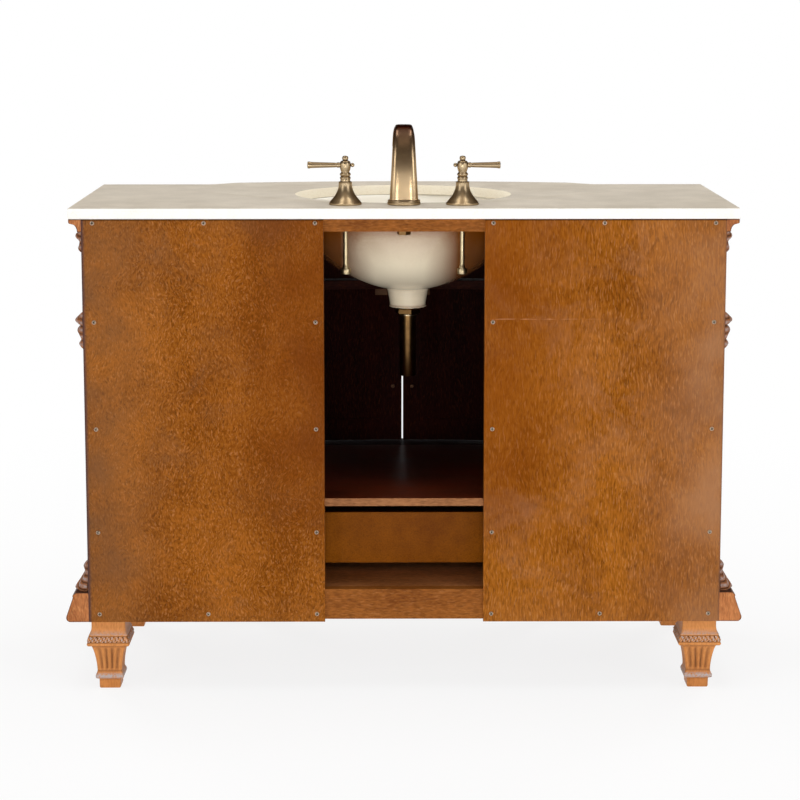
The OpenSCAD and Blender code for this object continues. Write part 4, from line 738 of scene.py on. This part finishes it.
top, slab, eased = 0.907, 0.020, 0.0013
side_edge, step_out, step_in, over_face = -0.201, 0.398, 0.328, 0.025
bow_end = bow_point(step_in, over_face)
outline = [(0.610, back), (0.610, side_edge)]
for i in range(25):
    x = step_out + (step_in - step_out) * i / 24
    outline.append((x, side_edge + (bow_end - side_edge) * (1 - math.cos(math.pi * i / 24)) / 2))
outline += [(x, bow_point(x, over_face)) for x in [step_in * (1 - i / 24) for i in range(1, 25)]]
outline += [(-x, y) for x, y in reversed(outline[:-1])]
tap_out, tap_y = 0.108, 0.217
holes = [oval_ring(0.0, -0.001, 0.210, 0.1875, 0.0, 160)]
for x, radius in ((-tap_out, 0.017), (0.0, 0.012), (tap_out, 0.017)):
    holes.append(oval_ring(x, tap_y, radius, radius, 0.0, 40))
plan = bpy.data.curves.new("stone_plan", "CURVE")
plan.dimensions = "2D"
plan.fill_mode = "BOTH"
plan.extrude = slab / 2 - eased
plan.bevel_depth = eased
plan.bevel_resolution = 2
plan.offset = -eased
for line in [outline] + holes:
    spline = plan.splines.new("POLY")
    spline.points.add(len(line) - 1)
    for point, place in zip(spline.points, line):
        point.co = (place[0], place[1], 0, 1)
    spline.use_cyclic_u = True
shape = bpy.data.objects.new("stone_plan", plan)
bpy.context.scene.collection.objects.link(shape)
bpy.context.view_layer.update()
stone_mesh = bpy.data.meshes.new_from_object(shape)
bpy.data.objects.remove(shape)
bm = bmesh.new()
bm.from_mesh(stone_mesh)
bmesh.ops.remove_doubles(bm, verts=bm.verts, dist=1e-6)
bmesh.ops.translate(bm, verts=bm.verts, vec=(0, 0, top - slab / 2))
bmesh.ops.recalc_face_normals(bm, faces=bm.faces)
for face in bm.faces:
    middle = face.calc_center_median()
    in_cut_out = math.hypot(middle.x / 0.23, (middle.y + 0.001) / 0.20) < 1
    face.material_index = 0 if abs(face.normal.z) >= 0.4 else 2 if in_cut_out else 1


def marble(name, base, light, dark, gloss):
    made, tree = blank_material(name)
    source = own_place(tree)
    cloud = put_node(tree, "ShaderNodeTexNoise", {"Vector": source, "Scale": 14.0, "Detail": 6.0,
                                                  "Roughness": 0.65})
    speck = noise(tree, source, 420.0, 3.0)
    fleck = put_node(tree, "ShaderNodeTexVoronoi", {"Vector": source, "Scale": 95.0}).outputs["Distance"]
    colour = blend_colour(tree, spread(tree, cloud.outputs[0], 0.35, 0.68), base, light)
    shade = calc(tree, "MULTIPLY", spread(tree, speck, 0.52, 0.72), 0.45)
    colour = blend_colour(tree, shade, colour, dark)
    grains = calc(tree, "MULTIPLY", spread(tree, fleck, 0.16, 0.05), 0.22)
    colour = blend_colour(tree, grains, colour, light)
    rough = calc(tree, "MULTIPLY_ADD", cloud.outputs[0], 0.12, gloss)
    skin = put_node(tree, "ShaderNodeBsdfPrincipled", {"Base Color": colour, "Roughness": rough,
                                                       "Specular IOR Level": 0.25})
    put_surface(tree, skin)
    return made


stone_face = marble("beige_marble", srgb(184, 174, 158), srgb(202, 192, 176), srgb(160, 146, 128), 0.40)
stone_edge = marble("marble_edge", srgb(238, 235, 228), srgb(245, 243, 238), srgb(226, 220, 208), 0.35)
stone_cut = marble("marble_cut", srgb(244, 234, 212), srgb(248, 240, 222), srgb(222, 206, 178), 0.35)
finish_piece("marble_slab", bm, "cabinet", [stone_face, stone_edge, stone_cut], ["countertop"], 40)


# ---- Basin
# An oval vitreous-china bowl with a glossy cream glaze, clamped under the stone, with a short round
# neck for the waste. The glaze is a little deeper in colour where it pooled.
def loft(bm, rings, loop=False):
    """Closed skin over rings of points; a ring of one point is a pole."""
    rows = [[bm.verts.new(p) for p in ring] for ring in rings]
    count = max(len(row) for row in rows)
    for a, b in zip(rows, rows[1:] + ([rows[0]] if loop else [])):
        for i in range(count):
            k = (i + 1) % count
            if len(a) == 1:
                bm.faces.new((a[0], b[k], b[i]))
            elif len(b) == 1:
                bm.faces.new((a[i], a[k], b[0]))
            else:
                bm.faces.new((a[i], a[k], b[k], b[i]))
    if not loop:
        for row in (rows[0], rows[-1]):
            if len(row) > 2:
                bm.faces.new(row)
    return rows


bowl_x, bowl_y, rim_low = -0.009, -0.001, 0.877


def bowl_wall(wide, deep, drop, narrowest, lowest, steps):
    """Half sizes and heights of the rings on one face of the bowl, between its rim and its neck."""
    made = []
    for i in steps:
        t = math.radians(90 * i / 28)
        a, b = wide * math.cos(t) ** (2 / 1.8), deep * math.cos(t) ** (2 / 1.8)
        if a > narrowest:
            made.append((a, b, max(rim_low - drop * math.sin(t) ** (2 / 1.8), lowest)))
    return made


stages = [(0.231, 0.200, 0.8868), (0.232, 0.201, 0.8858), (0.232, 0.201, 0.8785), (0.231, 0.200, 0.8772),
          (0.2225, 0.1975, 0.8768), (0.2195, 0.1962, 0.8755)]
stages += bowl_wall(0.218, 0.195, 0.160, 0.050, 0.0, range(1, 27))
stages += [(0.0440, 0.0430, 0.7235), (0.0405, 0.0402, 0.7195), (0.0392, 0.0392, 0.7150), (0.0372, 0.0372, 0.7040),
           (0.0352, 0.0352, 0.6925), (0.0352, 0.0352, 0.6885), (0.0362, 0.0362, 0.6872), (0.0362, 0.0362, 0.6858),
           (0.0350, 0.0350, 0.6852), (0.0200, 0.0200, 0.6852), (0.0194, 0.0194, 0.6860), (0.0194, 0.0194, 0.7252),
           (0.0313, 0.0313, 0.7260), (0.0322, 0.0322, 0.7290), (0.0345, 0.0340, 0.7298)]
stages += bowl_wall(0.211, 0.188, 0.153, 0.055, 0.7302, range(26, 0, -1))
stages += [(0.2112, 0.1882, 0.8800), (0.2115, 0.1885, 0.8852), (0.2130, 0.1900, 0.8866), (0.2180, 0.1940, 0.8868)]
bm = bmesh.new()
loft(bm, [oval_ring(bowl_x, bowl_y, a, b, z) for a, b, z in stages], loop=True)
china, tree = blank_material("cream_glaze")
source = own_place(tree)
pooled = noise(tree, source, 9.0, 3.0)
fine = noise(tree, source, 240.0, 1.0)
colour = blend_colour(tree, spread(tree, pooled, 0.35, 0.65), srgb(249, 245, 235), srgb(245, 240, 228))

# Outside, painted shade: the bowl is browned at its sides, under its rim and where the bay is near,
# for the shade of the bay and the brown light its wood throws
bay_shade = put_node(tree, "ShaderNodeAmbientOcclusion", {"Distance": 0.20}, samples=8).outputs["AO"]
facing = one_axis(tree, put_node(tree, "ShaderNodeNewGeometry").outputs["Normal"], "Z")
place = put_node(tree, "ShaderNodeSeparateXYZ", {0: source}).outputs
shade_under_rim = calc(tree, "MULTIPLY", spread(tree, place["Z"], 0.785, 0.855), 0.58)
aside = calc(tree, "ABSOLUTE", calc(tree, "SUBTRACT", place["X"], 0.008))
aside = calc(tree, "MULTIPLY", spread(tree, aside, 0.045, 0.112), 0.97)
bay_shade = calc(tree, "MAXIMUM", calc(tree, "MAXIMUM", spread(tree, bay_shade, 0.90, 0.55), aside), shade_under_rim)
outer = calc(tree, "MAXIMUM", spread(tree, facing, 0.0, -0.03), spread(tree, place["Z"], 0.738, 0.731))
colour = blend_colour(tree, outer, colour, srgb(255, 241, 212))
colour = blend_colour(tree, calc(tree, "MULTIPLY", bay_shade, outer), colour, srgb(128, 68, 12))
ripple = put_node(tree, "ShaderNodeBump", {"Height": fine, "Strength": 0.04, "Distance": 0.0004})
skin = put_node(tree, "ShaderNodeBsdfPrincipled",
                {"Base Color": colour, "Roughness": 0.16, "Specular IOR Level": 0.25, "Coat Weight": 0.45,
                 "Coat Roughness": 0.05, "Normal": ripple.outputs[0]})
put_surface(tree, skin)
finish_piece("china_bowl", bm, "cabinet", [china], ["sink_basin"], 50)


# ---- Taps
# A flat arched spout and two lever valves in brushed antique brass, darker and rougher in the
# grooves; the spout's crest is darkened with a painted reflection. Under the stone, plain tubes end in supply nuts.
def metal(name, bright, dark, rough, brushed=(600, 600, 24), worn=0.5, tarnish=0.5,
          edge=srgb(148, 124, 98), painted_dark_top=None):
    made, tree = blank_material(name)
    source = own_place(tree)
    lines = noise(tree, scaled(tree, source, brushed), 1.0, 2.0)
    cloud = noise(tree, source, 60.0, 4.0)
    around = put_node(tree, "ShaderNodeAmbientOcclusion", {"Distance": 0.004}, only_local=True, samples=6)
    crease = calc(tree, "MULTIPLY", spread(tree, around.outputs["AO"], 0.95, 0.55), tarnish)
    patch = calc(tree, "MULTIPLY", spread(tree, cloud, 0.42, 0.70), worn * 0.5)
    dull = calc(tree, "ADD", crease, patch, clamp=True)
    colour = blend_colour(tree, dull, bright, dark)
    # Painted reflection: the metal darkens above a given height, as if it mirrored a dark room overhead
    if painted_dark_top:
        high = spread(tree, one_axis(tree, source, "Z"), *painted_dark_top)
        colour = blend_colour(tree, high, colour, srgb(104, 76, 66))
    streak = calc(tree, "MULTIPLY_ADD", lines, 0.03, rough)
    gloss = calc(tree, "MULTIPLY_ADD", dull, 0.10, streak)
    skin = put_node(tree, "ShaderNodeBsdfPrincipled",
                    {"Base Color": colour, "Metallic": 1.0, "Roughness": gloss, "Specular Tint": edge})
    put_surface(tree, skin)
    return made


def turned(bm, line, at, up=(0, 0, 1), sides=48, loop=False):
    """Turns a line of (radius, height) pairs about an axis through a point."""
    up = Vector(up).normalized()
    one = up.orthogonal().normalized()
    two = up.cross(one)
    rings = []
    for radius, high in line:
        centre = Vector(at) + up * high
        if radius < 1e-6:
            rings.append([centre])
        else:
            rings.append([centre + (one * math.cos(a) + two * math.sin(a)) * radius
                          for a in [math.tau * i / sides for i in range(sides)]])
    loft(bm, rings, loop)


def curved(line, parts=4):
    """The same line with smooth curves through its points."""
    made = []
    for i, (a, b) in enumerate(zip(line, line[1:])):
        before = line[i - 1] if i else a
        after = line[i + 2] if i + 2 < len(line) else b
        for k in range(parts):
            made.append(tuple(smooth_between(before[j], a[j], b[j], after[j], k / parts) for j in (0, 1)))
    return [(max(r, 0.0), h) for r, h in made + [line[-1]]]


brass = metal("antique_brass", srgb(190, 168, 134), srgb(106, 88, 66), 0.31)
tube_brass = metal("tube_brass", srgb(214, 196, 158), srgb(130, 106, 72), 0.34)
pipe_brass = metal("pipe_brass", srgb(150, 114, 70), srgb(74, 52, 34), 0.28, worn=0.8)
bm = bmesh.new()
ring_high = 0.009
turned(bm, [(0, 0), (0.0290, 0), (0.0305, 0.0010), (0.0305, 0.0042), (0.0296, 0.0052), (0.0296, 0.0060),
            (0.0302, 0.0066), (0.0298, 0.0084), (0.0285, 0.0090), (0, 0.0090)], (0, tap_y, top), sides=72)
for sign in (-1, 1):
    flare = [(0.012 + 0.018 * (1 - i / 14) ** 2.2, 0.0045 + 0.0365 * i / 14) for i in range(15)]
    turned(bm, [(0, 0), (0.0290, 0), (0.0300, 0.0010), (0.0300, 0.0034), (0.0290, 0.0042)] + flare[1:]
           + [(0.0123, 0.0415), (0.0118, 0.0425), (0.0092, 0.0430), (0.0090, 0.0470), (0.0050, 0.0470),
              (0.0050, 0.0620), (0, 0.0620)], (sign * tap_out, tap_y, top), sides=64)
finish_piece("valve_bells", bm, "cabinet", [brass], ["faucet_bases"], 38)


def spout_line(t):
    """Middle of the arch, forward of its foot and up from it, on a curve drawn by four points."""
    points = ((0.0, 0.0), (-0.014, 0.15688), (0.07316, 0.18056), (0.118, 0.09176))
    shares = ((1 - t) ** 3, 3 * (1 - t) ** 2 * t, 3 * (1 - t) * t * t, t ** 3)
    return Vector(sum(share * point[axis] for share, point in zip(shares, points)) for axis in (0, 1))


crest, crest_high = 0.108, 0.0315
rings = []
for i in range(49):
    t = i / 48
    middle = spout_line(t)
    ahead = (spout_line(min(t + 0.01, 1)) - spout_line(max(t - 0.01, 0))).normalized()
    ahead = ahead.lerp(Vector((0, 1)), max(0, 1 - t / 0.10)).normalized()
    thick = 0.017 - 0.012 * t ** 0.7
    wide = 0.02625 - 0.0065 * min(middle.y / 0.1214, 1.0)
    ring = []
    for k in range(56):
        a = math.tau * k / 56
        c, s = math.cos(a), math.sin(a)
        x = wide * math.copysign(abs(c) ** 0.50, c)
        n = thick * math.copysign(abs(s) ** 0.62, s)
        forward, up = middle.x - ahead.y * n, middle.y + ahead.x * n
        if up > crest:
            up = crest + crest_high * math.tanh((up - crest) / crest_high)
            x *= 1 - 0.10 * ((up - crest) / crest_high) ** 2 - 0.24 * max(0, (up - 0.117) / 0.0205) ** 1.8
        ring.append(Vector((x, tap_y - forward, top + ring_high - 0.0005 + up)))
    rings.append(ring)
lip = [p.lerp(sum(rings[-1], Vector()) / 56, 0.16) for p in rings[-1]]
inside = [p + (rings[-2][0] - rings[-1][0]).normalized() * 0.010 for p in lip]
bm = bmesh.new()
loft(bm, rings + [lip, inside])
brass_with_painted_dark_crest = metal("brass_with_painted_dark_crest", srgb(190, 164, 128), srgb(110, 88, 66), 0.23, painted_dark_top=(1.000, 1.048))
finish_piece("arched_spout", bm, "cabinet", [brass_with_painted_dark_crest], ["spout"], 45)

hub = curved([(0.0090, 0.0003), (0.0100, 0.0015), (0.0094, 0.0040), (0.0082, 0.0055), (0.0100, 0.0080),
              (0.0096, 0.0105), (0.0076, 0.0130), (0.0088, 0.0170), (0.0100, 0.0220), (0.0100, 0.0290),
              (0.0082, 0.0330), (0.0046, 0.0346), (0.0052, 0.0360), (0.0057, 0.0390), (0.0046, 0.0420),
              (0.0, 0.0433)])
bar = [(0, 0.004)] + curved([(0.0046, 0.0045), (0.0045, 0.0090), (0.0051, 0.0140), (0.0041, 0.0160),
                             (0.0045, 0.0200), (0.0050, 0.0400), (0.0057, 0.0620), (0.0063, 0.0650),
                             (0.0064, 0.0675), (0.0057, 0.0694), (0.0, 0.0700)])
for side, sign in (("left", -1), ("right", 1)):
    axis = Vector((sign * tap_out, tap_y, 0.954))
    bm = bmesh.new()
    turned(bm, [(0, 0.0152), (0.0051, 0.0152), (0.0051, 0.0003)] + hub, axis, sides=56)
    turned(bm, bar, axis + Vector((0, 0, 0.026)), up=(sign, 0, 0), sides=40)
    turned(bm, [(0, 0.004), (0.0022, 0.004), (0.0022, 0.0098)]
           + [(0.0038 * math.sin(math.radians(d)), 0.0132 - 0.0038 * math.cos(math.radians(d)))
              for d in range(34, 180, 14)] + [(0, 0.0170)],
           axis + Vector((0, 0, 0.026)), up=(-sign, 0, 0), sides=32)
    finish_piece("lever_" + side, bm, "tap_lever_" + side, [brass], ["tap_lever_" + side], 38)

bm = bmesh.new()
turned(bm, [(0, -0.036), (0.008, -0.036), (0.008, 0.020), (0, 0.020)], (0, tap_y, 0.887), sides=32)
turned(bm, [(0, -0.036), (0.0122, -0.036), (0.0130, -0.0350), (0.0130, -0.0250), (0.0122, -0.024), (0, -0.024)],
       (0, tap_y, 0.887), sides=6)
turned(bm, [(0, -0.004), (0.0155, -0.004), (0.0160, -0.0035), (0.0160, -0.0001), (0, -0.0001)], (0, tap_y, 0.887))
for sign in (-1, 1):
    at = (sign * tap_out, tap_y, 0.0)
    turned(bm, [(0, 0.868), (0.0112, 0.868), (0.012, 0.8688), (0.012, 0.907), (0, 0.907)], at)
    turned(bm, [(0, 0.873), (0.0180, 0.873), (0.019, 0.874), (0.019, 0.882), (0.018, 0.883), (0, 0.883)], at,
           sides=6)
    turned(bm, [(0, 0.883), (0.0205, 0.883), (0.021, 0.8836), (0.021, 0.8869), (0, 0.8869)], at)
    turned(bm, curved([(0.0064, 0.7860), (0.0060, 0.7900), (0.0048, 0.7935), (0.00425, 0.7970)])
           + [(0.00425, 0.869), (0.0032, 0.869), (0.0032, 0.7860)], at, sides=36, loop=True)
    turned(bm, [(0.0050, 0.7780), (0.0088, 0.7780), (0.0095, 0.7787), (0.0095, 0.7800), (0.0090, 0.7806),
                (0.0095, 0.7812), (0.0095, 0.7866), (0.0090, 0.7878), (0.0072, 0.7880), (0.0050, 0.7880)],
           at, sides=36, loop=True)
for face in bm.faces:
    face.material_index = 1 if abs(face.calc_center_median().x) < 0.04 else 0
finish_piece("tubes_and_lock_nuts", bm, "cabinet", [tube_brass, pipe_brass],
             ["faucet_shanks"], 35)


# ---- Waste
# Brass waste in the bowl's neck: flange, barrel, nut and a straight tailpiece that ends open.
# The push stopper and the flange are polished; the tailpiece has a drawn, slightly dull surface.
waste_at = (bowl_x, bowl_y, 0.0)
bm = bmesh.new()
turned(bm, [(0.0147, 0.548), (0.0153, 0.5478), (0.0159, 0.5484), (0.0159, 0.6858), (0.0147, 0.6858)], waste_at,
       sides=48, loop=True)
finish_piece("tail_pipe", bm, "cabinet", [pipe_brass], ["drain_tailpiece"], 45)
bm = bmesh.new()
turned(bm, [(0.0191, 0.671), (0.0238, 0.671), (0.0250, 0.6722), (0.0250, 0.6806), (0.0238, 0.6819),
            (0.0191, 0.6819)], waste_at, sides=6, loop=True)
turned(bm, [(0.0191, 0.6815), (0.0218, 0.6815), (0.0220, 0.6822), (0.0220, 0.6842), (0.0212, 0.6849),
            (0.0191, 0.6849)], waste_at, loop=True)
finish_piece("waste_nut", bm, "cabinet", [pipe_brass], ["drain_nut"], 35)
bm = bmesh.new()
turned(bm, [(0, 0.7293), (0.0210, 0.7293), (0.0220, 0.7303), (0.0220, 0.7323), (0.0212, 0.7334)]
       + curved([(0.0160, 0.7345), (0.0110, 0.7353), (0.0060, 0.7357), (0, 0.7358)]), waste_at, sides=56)
turned(bm, [(0, 0.688), (0.0036, 0.688), (0.0040, 0.6884), (0.0040, 0.7300), (0, 0.7300)], waste_at, sides=28)
finish_piece("push_stopper", bm, "drain_stopper", [brass], ["drain_stopper"], 35)
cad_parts["drain_body"].material_slots[0].material = brass

# The basin's four clamps are zinc-plated steel
steel = metal("zinc_steel", srgb(196, 178, 158), srgb(44, 32, 26), 0.28, brushed=(200, 200, 200), worn=0.3,
              tarnish=1.0)
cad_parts["sink_clips"].material_slots[0].material = steel


# ---- Doors
# Two curved frame-and-panel doors on brass butt hinges, with raised and fielded panels.
# Their stiles run full height; outside they have the walnut stain, inside they are nearly black-brown.
def on_bow(x, depth, z):
    return Vector((x, bow_point(x, -depth), z))


knob_line = [(0, 0), (0.0100, 0), (0.0110, 0.0008), (0.0110, 0.0018), (0.0100, 0.0026), (0.0074, 0.0036),
             (0.0062, 0.0062), (0.0060, 0.0090), (0.0066, 0.0122), (0.0090, 0.0146), (0.0122, 0.0164),
             (0.0144, 0.0188), (0.0150, 0.0208), (0.0144, 0.0232), (0.0126, 0.0250), (0.0104, 0.0260),
             (0.0098, 0.0256), (0.0080, 0.0262), (0.0050, 0.0274), (0, 0.0279)]


def knob(bm, at, out, grip=0.020):
    """Turned knob with its screw through the board and the screw's head behind it."""
    turned(bm, knob_line, at, up=out, sides=48)
    grip_faces = set(bm.faces)
    turned(bm, [(0, 0.0005), (0.0020, 0.0005), (0.0020, -grip - 0.0005), (0, -grip - 0.0005)], at, up=out, sides=20)
    turned(bm, [(0, -grip), (0.0042, -grip), (0.0042, -grip - 0.0012), (0.0032, -grip - 0.0022),
                (0, -grip - 0.0024)], at, up=out, sides=28)
    for face in set(bm.faces) - grip_faces:
        face.material_index = 1


bronzed = metal("bronzed_steel", srgb(84, 60, 44), srgb(32, 22, 16), 0.45, brushed=(200, 200, 200))
door_rail = stained_wood("door_rail", "x", walnut_pale, walnut_deep, figure=0.6, glaze=0.8, shift=(0.1, 0.9, 0.3))
door_stile = stained_wood("door_stile", "z", walnut_pale, walnut_deep, figure=0.6, glaze=0.8, shift=(0.6, 0.2, 0.4))
door_field = stained_wood("door_field", "z", srgb(178, 108, 50), srgb(118, 58, 16), figure=0.9, cloud=0.6,
                          waver=0.03, glaze=0.7, shift=(0.3, 0.3, 0.9))
door_back = stained_wood("door_back", "z", inner_pale, inner_deep, gloss=0.6, shine=0.04, painted_glints=0.0)
arris = [(0.0, 0.0024), (0.0005, 0.0009), (0.0016, 0.0)]
opening, low_z, high_z, stile, tuck = 0.2785, 0.3695, 0.6885, 0.045, 0.0058
for side, sign in (("left", -1), ("right", 1)):
    span = sorted((sign * 0.0015, sign * opening))
    bm = bmesh.new()
    relief_board(bm, span, (low_z, high_z), 0.020,
                 arris + [(stile - 0.0115, 0.0), (stile - 0.0105, 0.0014), (stile - 0.0075, 0.0018),
                          (stile - 0.0040, 0.0036), (stile - 0.0018, 0.0068), (stile, 0.0078)],
                 on_bow, parts=16, open_middle=True, slots=(0, 1, 2))
    finish_piece("door_frame_" + side, bm, "door_" + side,
                 [door_rail, door_stile, door_back], [f"door_{side}_frame"], 30)
    span = (span[0] + stile - tuck, span[1] - stile + tuck)
    bm = bmesh.new()
    relief_board(bm, span, (low_z + stile - tuck, high_z - stile + tuck), 0.017,
                 [(0.0, 0.0112), (tuck + 0.006, 0.0112), (tuck + 0.010, 0.0104), (tuck + 0.0215, 0.0064),
                  (tuck + 0.0218, 0.0052), (tuck + 0.0228, 0.0050)], on_bow, parts=16, slots=(0, 0, 1))
    finish_piece("door_panel_" + side, bm, "door_" + side, [door_field, door_back],
                 [f"door_{side}_panel"], 30)
    bm = bmesh.new()
    knob(bm, on_bow(sign * 0.020, 0, 0.483), bow_normal(sign * 0.020))
    finish_piece("door_knob_" + side, bm, "door_" + side, [brass, bronzed],
                 [f"door_{side}_knob"], 40)
    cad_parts[f"door_{side}_fittings"].material_slots[0].material = brass
for node, look in (("hinge_leaves", brass), ("door_catches", bronzed)):
    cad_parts[node].material_slots[0].material = look


# ---- Drawers
# Six straight drawers beside the doors and one wide bowed drawer under them, each a thick front
# with a sunk channel round its field, a turned brass knob, and a pale grooved box behind.
drawer_wood = stained_wood("drawer_wood", "x", srgb(178, 108, 50), srgb(116, 56, 16), figure=0.9, cloud=0.5,
                           glaze=0.9, shift=(0.5, 0.7, 0.2))
box_wood = stained_wood("box_wood", "y", srgb(148, 83, 10), srgb(115, 58, 2), flecks=0.3, painted_glints=0.02, shine=0.1)
channel = arris + [(0.0212, 0.0), (0.0222, 0.0022), (0.0236, 0.0036), (0.0258, 0.0040), (0.0286, 0.0038),
                   (0.0304, 0.0026), (0.0318, 0.0008), (0.0334, 0.0)]
rows = {"bottom": (0.195, 0.454), "middle": (0.470, 0.690), "top": (0.708, 0.864)}
gap = 0.0015
for side, sign in (("left", -1), ("right", 1)):
    across = sorted((sign * 0.3315, sign * 0.535))
    for row, (low_z, high_z) in rows.items():
        body = f"drawer_{side}_{row}"
        bm = bmesh.new()
        relief_board(bm, across, (low_z + gap, high_z - gap), 0.020, channel,
                     lambda x, depth, z: Vector((x, front + depth, z)))
        finish_piece(f"front_{side}_{row}", bm, body, [drawer_wood], [body + "_front"], 30)
        bm = bmesh.new()
        knob(bm, Vector((sum(across) / 2, front, (low_z + high_z) / 2)), Vector((0, -1, 0)))
        finish_piece(f"knob_{side}_{row}", bm, body, [brass, bronzed], [body + "_knob"], 40)
        eased_copy(f"box_{side}_{row}", body + "_box", body, box_wood, 0.0006)


def bow_or_back(x, depth, z):
    """The front's own face is bowed; its back is flat."""
    return Vector((x, -0.201, z)) if depth > 0.03 else on_bow(x, depth, z)


bm = bmesh.new()
relief_board(bm, (-opening, opening), (0.1965, 0.3515), 0.046, channel, bow_or_back, parts=32)
finish_piece("front_center", bm, "drawer_center", [drawer_wood], ["drawer_center_front"], 30)
bm = bmesh.new()
for x in (-0.120, 0.120):
    knob(bm, on_bow(x, 0, 0.274), bow_normal(x))
finish_piece("knobs_center", bm, "drawer_center", [brass, bronzed], ["drawer_center_knobs"], 40)
eased_copy("box_center", "drawer_center_box", "drawer_center", box_wood, 0.0006)

# The fixed front over the doors has two upright cleats behind it
bm = bmesh.new()
relief_board(bm, (-opening, opening), (0.7095, 0.8625), 0.020, channel, on_bow, parts=32, slots=(0, 0, 1))
for x in (-0.2385, 0.2085):
    relief_board(bm, (x, x + 0.030), (0.708, 0.864), 0.036, [(0.0, 0.020)], on_bow, parts=2, slots=(1, 1, 1))
finish_piece("front_over_doors", bm, "cabinet", [drawer_wood, door_back],
             ["false_front"], 30)


# ---- Back panel screws
# Twenty-four zinc-plated pan-head screws with a cross recess hold the back panels. One head is
# shaped and set on every screw's place; the crosses stand at different turns, as driven by hand.
rows_z = [0.149, 0.3047, 0.4991, 0.6980, 0.880]
spots = [(s * x, z) for s in (-1, 1) for z in rows_z for x in (0.162, 0.566)]
spots += [(s * 0.364, z) for s in (-1, 1) for z in (rows_z[0], rows_z[-1])]
points = bpy.data.meshes.new("screw_places")
points.from_pydata([(x, 0.287, z) for x, z in spots], [], [])
heads = bpy.data.objects.new("panel_screw_heads", points)
bpy.context.scene.collection.objects.link(heads)
tree = bpy.data.node_groups.new("screws_on_points", "GeometryNodeTree")
tree.is_modifier = True
tree.interface.new_socket("Geometry", in_out="INPUT", socket_type="NodeSocketGeometry")
sizes = {}
for name, value in (("Head Radius", 0.004), ("Head Height", 0.002), ("Shank Radius", 0.00175),
                    ("Shank Length", 0.0225), ("Slot Width", 0.0014), ("Slot Length", 0.0052)):
    socket = tree.interface.new_socket(name, in_out="INPUT", socket_type="NodeSocketFloat")
    sizes[socket.identifier] = value
socket = tree.interface.new_socket("Finish", in_out="INPUT", socket_type="NodeSocketMaterial")
finish_id = socket.identifier
tree.interface.new_socket("Geometry", in_out="OUTPUT", socket_type="NodeSocketGeometry")
given = put_node(tree, "NodeGroupInput").outputs
dome = put_node(tree, "GeometryNodeMeshUVSphere", {"Segments": 24, "Rings": 16, "Radius": given["Head Radius"]})
flat = calc(tree, "DIVIDE", given["Head Height"], given["Head Radius"])
squash = put_node(tree, "ShaderNodeCombineXYZ", {"X": 1.0, "Y": 1.0, "Z": flat})
dome = put_node(tree, "GeometryNodeTransform", {"Geometry": dome.outputs["Mesh"], "Scale": squash.outputs[0]})
bar = put_node(tree, "ShaderNodeCombineXYZ", {"X": given["Slot Length"], "Y": given["Slot Width"],
                                              "Z": given["Head Radius"]})
bar = put_node(tree, "GeometryNodeMeshCube", {"Size": bar.outputs[0]}).outputs["Mesh"]
raised = put_node(tree, "ShaderNodeCombineXYZ", {"Z": given["Head Height"]}).outputs[0]
head = put_node(tree, "GeometryNodeMeshBoolean", {"Mesh 1": dome.outputs[0]}, operation="DIFFERENCE",
                solver="EXACT")
for turned_by in (0.0, math.radians(90)):
    cut = put_node(tree, "GeometryNodeTransform", {"Geometry": bar, "Translation": raised,
                                                   "Rotation": (0, 0, turned_by)})
    tree.links.new(cut.outputs[0], head.inputs["Mesh 2"])
shank = put_node(tree, "GeometryNodeMeshCylinder", {"Vertices": 20, "Radius": given["Shank Radius"],
                                                    "Depth": given["Shank Length"]})
down = put_node(tree, "ShaderNodeCombineXYZ", {"Z": calc(tree, "MULTIPLY", given["Shank Length"], -0.5)})
shank = put_node(tree, "GeometryNodeTransform", {"Geometry": shank.outputs["Mesh"], "Translation": down.outputs[0]})
whole = put_node(tree, "GeometryNodeJoinGeometry")
for part in (head.outputs["Mesh"], shank.outputs[0]):
    tree.links.new(part, whole.inputs[0])
spin = put_node(tree, "FunctionNodeRandomValue", {"Min": (0, 0, 0), "Max": (0, 0, math.tau), "Seed": 11},
                data_type="FLOAT_VECTOR")
copies = put_node(tree, "GeometryNodeInstanceOnPoints", {"Points": given["Geometry"], "Instance": whole.outputs[0],
                                                         "Rotation": (math.radians(-90), 0, 0)})
turns = put_node(tree, "GeometryNodeRotateInstances", {"Instances": copies.outputs[0], "Rotation": spin.outputs[0],
                                                       "Local Space": True})
real = put_node(tree, "GeometryNodeRealizeInstances", {"Geometry": turns.outputs[0]})
plated = put_node(tree, "GeometryNodeSetMaterial", {"Geometry": real.outputs[0], "Material": given["Finish"]})
put_node(tree, "NodeGroupOutput", {"Geometry": plated.outputs[0]})
setting = heads.modifiers.new("screws", "NODES")
setting.node_group = tree
for key, value in sizes.items():
    setting[key] = value
setting[finish_id] = steel
bpy.context.view_layer.update()
made = bpy.data.meshes.new_from_object(heads.evaluated_get(bpy.context.evaluated_depsgraph_get()))
bpy.data.objects.remove(heads)
bm = bmesh.new()
bm.from_mesh(made)
finish_piece("screw_heads", bm, "cabinet", [steel], ["panel_screws"], 40, recalc=False)
